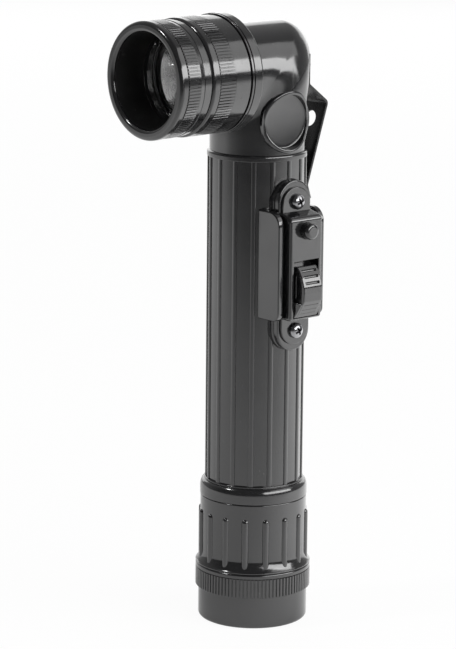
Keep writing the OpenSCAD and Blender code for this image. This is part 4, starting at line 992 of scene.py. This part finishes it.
def switch_cover():
    side = rounded([(13.8, 77.6, 0), (18.1, 77.6, 0.7), (18.1, 102.3, 1.2), (13.8, 103.4, 0)], steps=7)
    box = slab("cover_box", side, -5.0, 5.0, 0.55, 0.55, across, steps=6)
    ears = slab("cover_ears", stadium(4.4, 75.2, 104.7), 13.81, 14.4, 0.02, 0.22, outward)
    inside = block_mesh("cover_inside", (13.0, -4.3, 78.3), (17.4, 4.3, 101.6))
    window = block_mesh("cover_window", (17.0, -4.0, 78.1), (19.0, 4.0, 92.0))
    button_hole = plug(2.1, 17, 19, 48, switch_side(BUTTON_Z))
    box = cut(box, [inside.copy(), window, button_hole])
    ears = cut(ears, [inside] + screw_holes(13, 15))
    piece("switch_cover", [box, ears], "housing", "switch_plastic", "switch_cover")


def narrowed(mesh, at_low, at_high):
    """Scales a knob piece across by a share that changes evenly from inside the cover to the crest."""
    low_x, crest_x = 17.4, 20.75
    for vertex in mesh.vertices:
        rise = min(1.0, max(0.0, (vertex.co.x - low_x) / (crest_x - low_x)))
        vertex.co.y *= at_low + (at_high - at_low) * rise


def slot_tool(half_h, depth, x, z, lean):
    """A cutter for one slot across the knob, round at its bottom and ends; lean tips it from level."""
    half_w = 2.35
    mouth = 0.7
    bottom = half_h * 0.95
    end = half_h * 0.3
    section = rounded(
        [(mouth, -half_h, 0), (-depth, -half_h, bottom), (-depth, half_h, bottom), (mouth, half_h, 0)],
        support=0.01,
    )
    tool = slab("slot", section, -half_w, half_w, end, end, across)
    tool.transform(Matrix.Translation((x, 0, z)) @ Matrix.Rotation(radians(-lean), 4, "Y"))
    return tool


def slide_knob():
    """The knob: a crested body on a flared foot, with dished sides, grip slots and a hidden plate."""
    side = rounded([
        (17.2, 78.2, 0), (18.04, 78.2, 0.4), (20.6, 82.48, 0.9), (20.75, 84.4, 1.0),
        (20.7, 85.89, 2.0), (20.42, 86.88, 2.5), (19.91, 88.24, 3.0), (19.11, 89.55, 2.0),
        (18.2, 90.6, 0.4), (17.2, 90.6, 0),
    ])
    body = slab("knob_body", side, -3.1, 3.1, 0.3, 0.3, across)
    dish = rounded([
        (17.74, 82.79, 0.5), (19.81, 82.79, 0.7), (19.95, 85.89, 1.2), (19.01, 88.0, 0.9),
        (17.74, 89.11, 0.5),
    ])
    tools = []
    for low, high in ((2.8, 4.0), (-4.0, -2.8)):
        tools.append(slab("dish", dish, low, high, 0.2, 0.2, across))
    for x, z, lean in ((20.47, 86.88, 16), (19.93, 88.31, 25), (19.08, 89.67, 36)):
        tools.append(slot_tool(0.36, 0.5, x, z, lean))
    for x, z in ((18.69, 79.32), (19.24, 80.31), (19.96, 81.5)):
        tools.append(slot_tool(0.12, 0.16, x, z, -31))
    body = cut(body, tools)
    narrowed(body, 1.0, 0.95)
    body.set_sharp_from_angle(angle=radians(SHARP_DEG))
    ramp = [(17.2, 78.2, 0), (18.04, 78.2, 0.35), (20.17, 81.87, 0.2), (17.2, 82.2, 0.0)]
    foot = slab("knob_foot", rounded(ramp, steps=4), -3.85, 3.85, 0.18, 0.18, across)
    foot.transform(Matrix.Translation((-0.03, 0, 0)))
    narrowed(foot, 1.0, 0.805)
    plate = slab("knob_plate", rectangle(4.2, 78.4, 93.95, 0.3), 13.9, 15.3, 0.05, 0.1, outward)
    block = slab("knob_block", rectangle(3.1, 78.4, 90.5, 0.2), 15.2, 17.3, 0, 0, outward)
    piece("slide_knob", [body, foot, plate, block], "switch_body", "switch_plastic", "slide_knob")


def signal_button():
    profile = rounded([
        (0, 12.4, 0), (0.9, 12.4, 0.1), (0.9, 16.4, 0), (2.6, 16.5, 0.1), (2.6, 17.2, 0.1),
        (2.0, 17.25, 0), (2.0, 20.5, 0.85), (0, 20.5, 0),
    ], steps=7)
    button = lathe("button", profile, 64, switch_side(BUTTON_Z))
    piece("signal_button", [button], "button_body", "switch_plastic", "signal_button")


def switch_screws():
    sizes = {"Count": 2, "Start": (14.42, 0.0, SCREW_LOW), "Step": (0.0, 0.0, SCREW_TOP - SCREW_LOW)}
    screws = repeated("switch_screws", LINE, cross_screw(), FINISHES["dark_steel"], **sizes)
    piece("switch_screws", [screws], "housing", "dark_steel", "switch_screws")


# Belt clip


def clip():
    piece("belt_clip", [softened("belt_clip", 0.12)], "housing", "clip_paint", "belt_clip")
    head = [(0, -1.2), (0.74, -1.2), (0.74, 0), (1.08, 0), (1.1, 0.04)] + dome(1.1, 0.05, 0.4, 7)
    rivet = lathe("rivet", head, 32, Matrix.Rotation(radians(-90), 4, "X"))
    sizes = {"Count": 2, "Start": (-3.25, 12.85, 136.1), "Step": (6.5, 0.0, 0.0)}
    rivets = repeated("clip_rivets", LINE, rivet, FINISHES["clip_paint"], **sizes)
    piece("clip_rivets", [rivets], "housing", "clip_paint", "clip_rivets")


base_cup()
battery_cap()
battery_tube()
elbow()
lens_ring()
front_hood()
lamp_window()
bowl()
lamp()
switch_guard()
switch_cover()
slide_knob()
signal_button()
switch_screws()
clip()

# The hidden parts keep their drawn shape and take their own finish
HIDDEN = {
    "brass": (
        "bulb_socket", "lamp_contact", "lamp_strip", "ground_strip", "button_leaf",
        "slide_contact", "cap_contact",
    ),
    "bright_steel": ("bulb_base", "tail_spring"),
    "fibre_board": ("socket_insulator",),
    "cell_can": ("battery_upper", "battery_lower"),
    "seal_rubber": ("head_seal", "lens_gasket", "hood_seal", "cap_seal", "cup_seal"),
    "red_filter": ("filter_red",),
    "amber_filter": ("filter_amber",),
    "blue_filter": ("filter_blue",),
    "frosted_filter": ("filter_clear",),
}
for slot, nodes in HIDDEN.items():
    for node in nodes:
        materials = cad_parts[node].data.materials
        materials.clear()
        materials.append(FINISHES[slot])


# Floor, light and camera


def white_glow(tree, kind):
    """An emission or background node of plain white, at a strength of 1."""
    node = tree.nodes.new(kind)
    node.inputs["Color"].default_value = (1, 1, 1, 1)
    return node


def seen_white(tree, white, lit, camera_share, mirror_share):
    """Mixes a glow into a surface, by a share each for direct, mirrored and clear-through rays."""
    link = tree.links.new
    path = tree.nodes.new("ShaderNodeLightPath")
    straight = number(tree, "MULTIPLY", path.outputs["Is Camera Ray"], camera_share)
    mirrored = number(tree, "MULTIPLY", path.outputs["Is Glossy Ray"], mirror_share)
    through = number(tree, "MULTIPLY", path.outputs["Is Transmission Ray"], THROUGH)
    mix = tree.nodes.new("ShaderNodeMixShader")
    share = number(tree, "MAXIMUM", straight, number(tree, "MAXIMUM", mirrored, through))
    link(share, mix.inputs[0])
    link(lit, mix.inputs[1])
    link(white, mix.inputs[2])
    return mix.outputs[0]


def studio_floor():
    """A round sheet of white paper with painted light: its colour darkens in front, towards the camera,
    as painted fall-off of light, and mirrored rays see a painted pool of light.
    """
    bm = bmesh.new()
    bmesh.ops.create_circle(bm, cap_ends=True, radius=6.0, segments=64)
    mesh = bpy.data.meshes.new("studio_floor")
    bm.to_mesh(mesh)
    bm.free()
    floor = added("studio_floor", mesh)
    paper = Finish("studio_floor", (0.04, 0.04, 0.04), 0.75, specular=0.2)
    tree = paper.tree
    split = tree.nodes.new("ShaderNodeSeparateXYZ")
    paper.link(paper.where, split.inputs[0])
    ahead, aside = (
        number(tree, "ADD", paper.product(split.outputs["X"], x), paper.product(split.outputs["Y"], y))
        for x, y in (FRONT, RIGHT)
    )
    # Painted shade: the paper's colour goes from pale near the flashlight to dark far in front,
    # standing in for light that falls off
    fade = paper.ranged(ahead, 0.10, 0.68, 1, 0)
    fade.node.interpolation_type = "SMOOTHSTEP"
    paper.tint(fade, (0.90, 0.90, 0.90))
    # Painted light: in mirrored rays the paper glows brighter at the right and fainter at the left, and
    # the glow ends in front and fades far out
    right = paper.ranged(aside, -0.04, 0.08, 0, 1)
    right = paper.product(right, paper.ranged(ahead, 0.02, 0.15, 1, 0))
    left = paper.ranged(aside, -0.05, -0.5, 0.1, 0.6)
    left = paper.product(left, paper.ranged(ahead, 0.05, 0.25, 1, 0))
    length = tree.nodes.new("ShaderNodeVectorMath")
    length.operation = "LENGTH"
    paper.link(paper.where, length.inputs[0])
    near = paper.ranged(length.outputs["Value"], 0.6, 1.0, 1, 0.1)
    path = tree.nodes.new("ShaderNodeLightPath")
    share = paper.product(number(tree, "MAXIMUM", right, left), near)
    # A painted pool of light: white glow added to the paper in mirrored rays only
    painted_light_pool = white_glow(tree, "ShaderNodeEmission")
    paper.link(paper.product(share, path.outputs["Is Glossy Ray"]), painted_light_pool.inputs["Strength"])
    lit = tree.nodes.new("ShaderNodeAddShader")
    paper.link(paper.shader.outputs[0], lit.inputs[0])
    paper.link(painted_light_pool.outputs[0], lit.inputs[1])
    glow = white_glow(tree, "ShaderNodeEmission")
    surface = seen_white(tree, glow.outputs[0], lit.outputs[0], FLOOR_SEEN, FLOOR_MIRROR)
    paper.link(surface, tree.nodes["Material Output"].inputs["Surface"])
    mesh.materials.append(paper.material)


def studio_world():
    """Plain grey light all round; white where it is seen, and darker in front in mirrored rays."""
    world = bpy.data.worlds.new("studio")
    bpy.context.scene.world = world
    world.use_nodes = True
    tree = world.node_tree
    link = tree.links.new
    lit = tree.nodes["Background"]
    lit.inputs["Color"].default_value = (0.35, 0.35, 0.35, 1)
    white = white_glow(tree, "ShaderNodeBackground")
    dim = white_glow(tree, "ShaderNodeBackground")
    backwards = tree.nodes.new("ShaderNodeVectorMath")
    backwards.operation = "DOT_PRODUCT"
    link(tree.nodes.new("ShaderNodeTexCoord").outputs["Generated"], backwards.inputs[0])
    backwards.inputs[1].default_value = (-FRONT[0], -FRONT[1], 0)
    room = map_range(tree, backwards.outputs["Value"], -0.2, 0.7, ROOM_NEAR, ROOM_FAR)
    link(room, dim.inputs["Strength"])
    out = tree.nodes["World Output"]
    mirrored = seen_white(tree, dim.outputs[0], lit.outputs[0], 0.0, 1.0)
    link(seen_white(tree, white.outputs[0], mirrored, 1.0, 0.0), out.inputs["Surface"])


def softbox(name, direction, distance, width, height, glow):
    """An area lamp that faces the flashlight; glow is its brightness, where 1 is white."""
    aim = Vector((0, -0.004, 0.086))
    data = bpy.data.lights.new(name, "AREA")
    data.shape = "RECTANGLE"
    data.size = width
    data.size_y = height
    data.energy = glow * pi * width * height
    lamp_object = added(name, data)
    back = Vector(direction).normalized()
    lamp_object.location = aim + back * distance
    lamp_object.rotation_euler = back.to_track_quat("Z", "Y").to_euler()


def camera():
    """The photograph's view: where the camera stands and how it is turned."""
    azimuth = radians(48.521)
    heading = azimuth + radians(0.512)
    pitch = radians(12.437)
    roll = radians(0.530)
    ground = 739.47 * MM
    stand = Vector((ground * sin(azimuth), -ground * cos(azimuth), 236.21 * MM))
    level = Vector((-sin(heading), cos(heading), 0))
    ahead = level * cos(pitch) - Vector((0, 0, sin(pitch)))
    right = ahead.cross(Vector((0, 0, 1))).normalized()
    up = right.cross(ahead)
    tilted_right = right * cos(roll) + up * sin(roll)
    tilted_up = up * cos(roll) - right * sin(roll)
    data = bpy.data.cameras.new("camera")
    data.lens = 172.84
    data.clip_start = 0.01
    obj = added("camera", data)
    turn = Matrix((tilted_right, tilted_up, -ahead)).transposed()
    obj.matrix_world = Matrix.Translation(stand) @ turn.to_4x4()
    bpy.context.scene.camera = obj


studio_floor()
studio_world()
softbox("right_box", (0.966, 0.259, 0.354), 0.9, 1.12, 0.32, 6.5)
softbox("right_halo", (0.80, 0.55, 0.78), 1.0, 0.9, 0.5, 1.4)
softbox("back_box", (-0.749, 0.663, 0.27), 1.3, 2.0, 0.7, 1.6)
softbox("left_spot", (-0.37, -0.85, 1.0), 0.9, 0.10, 0.10, 60.0)
camera()
bpy.context.scene.view_settings.view_transform = "Standard"
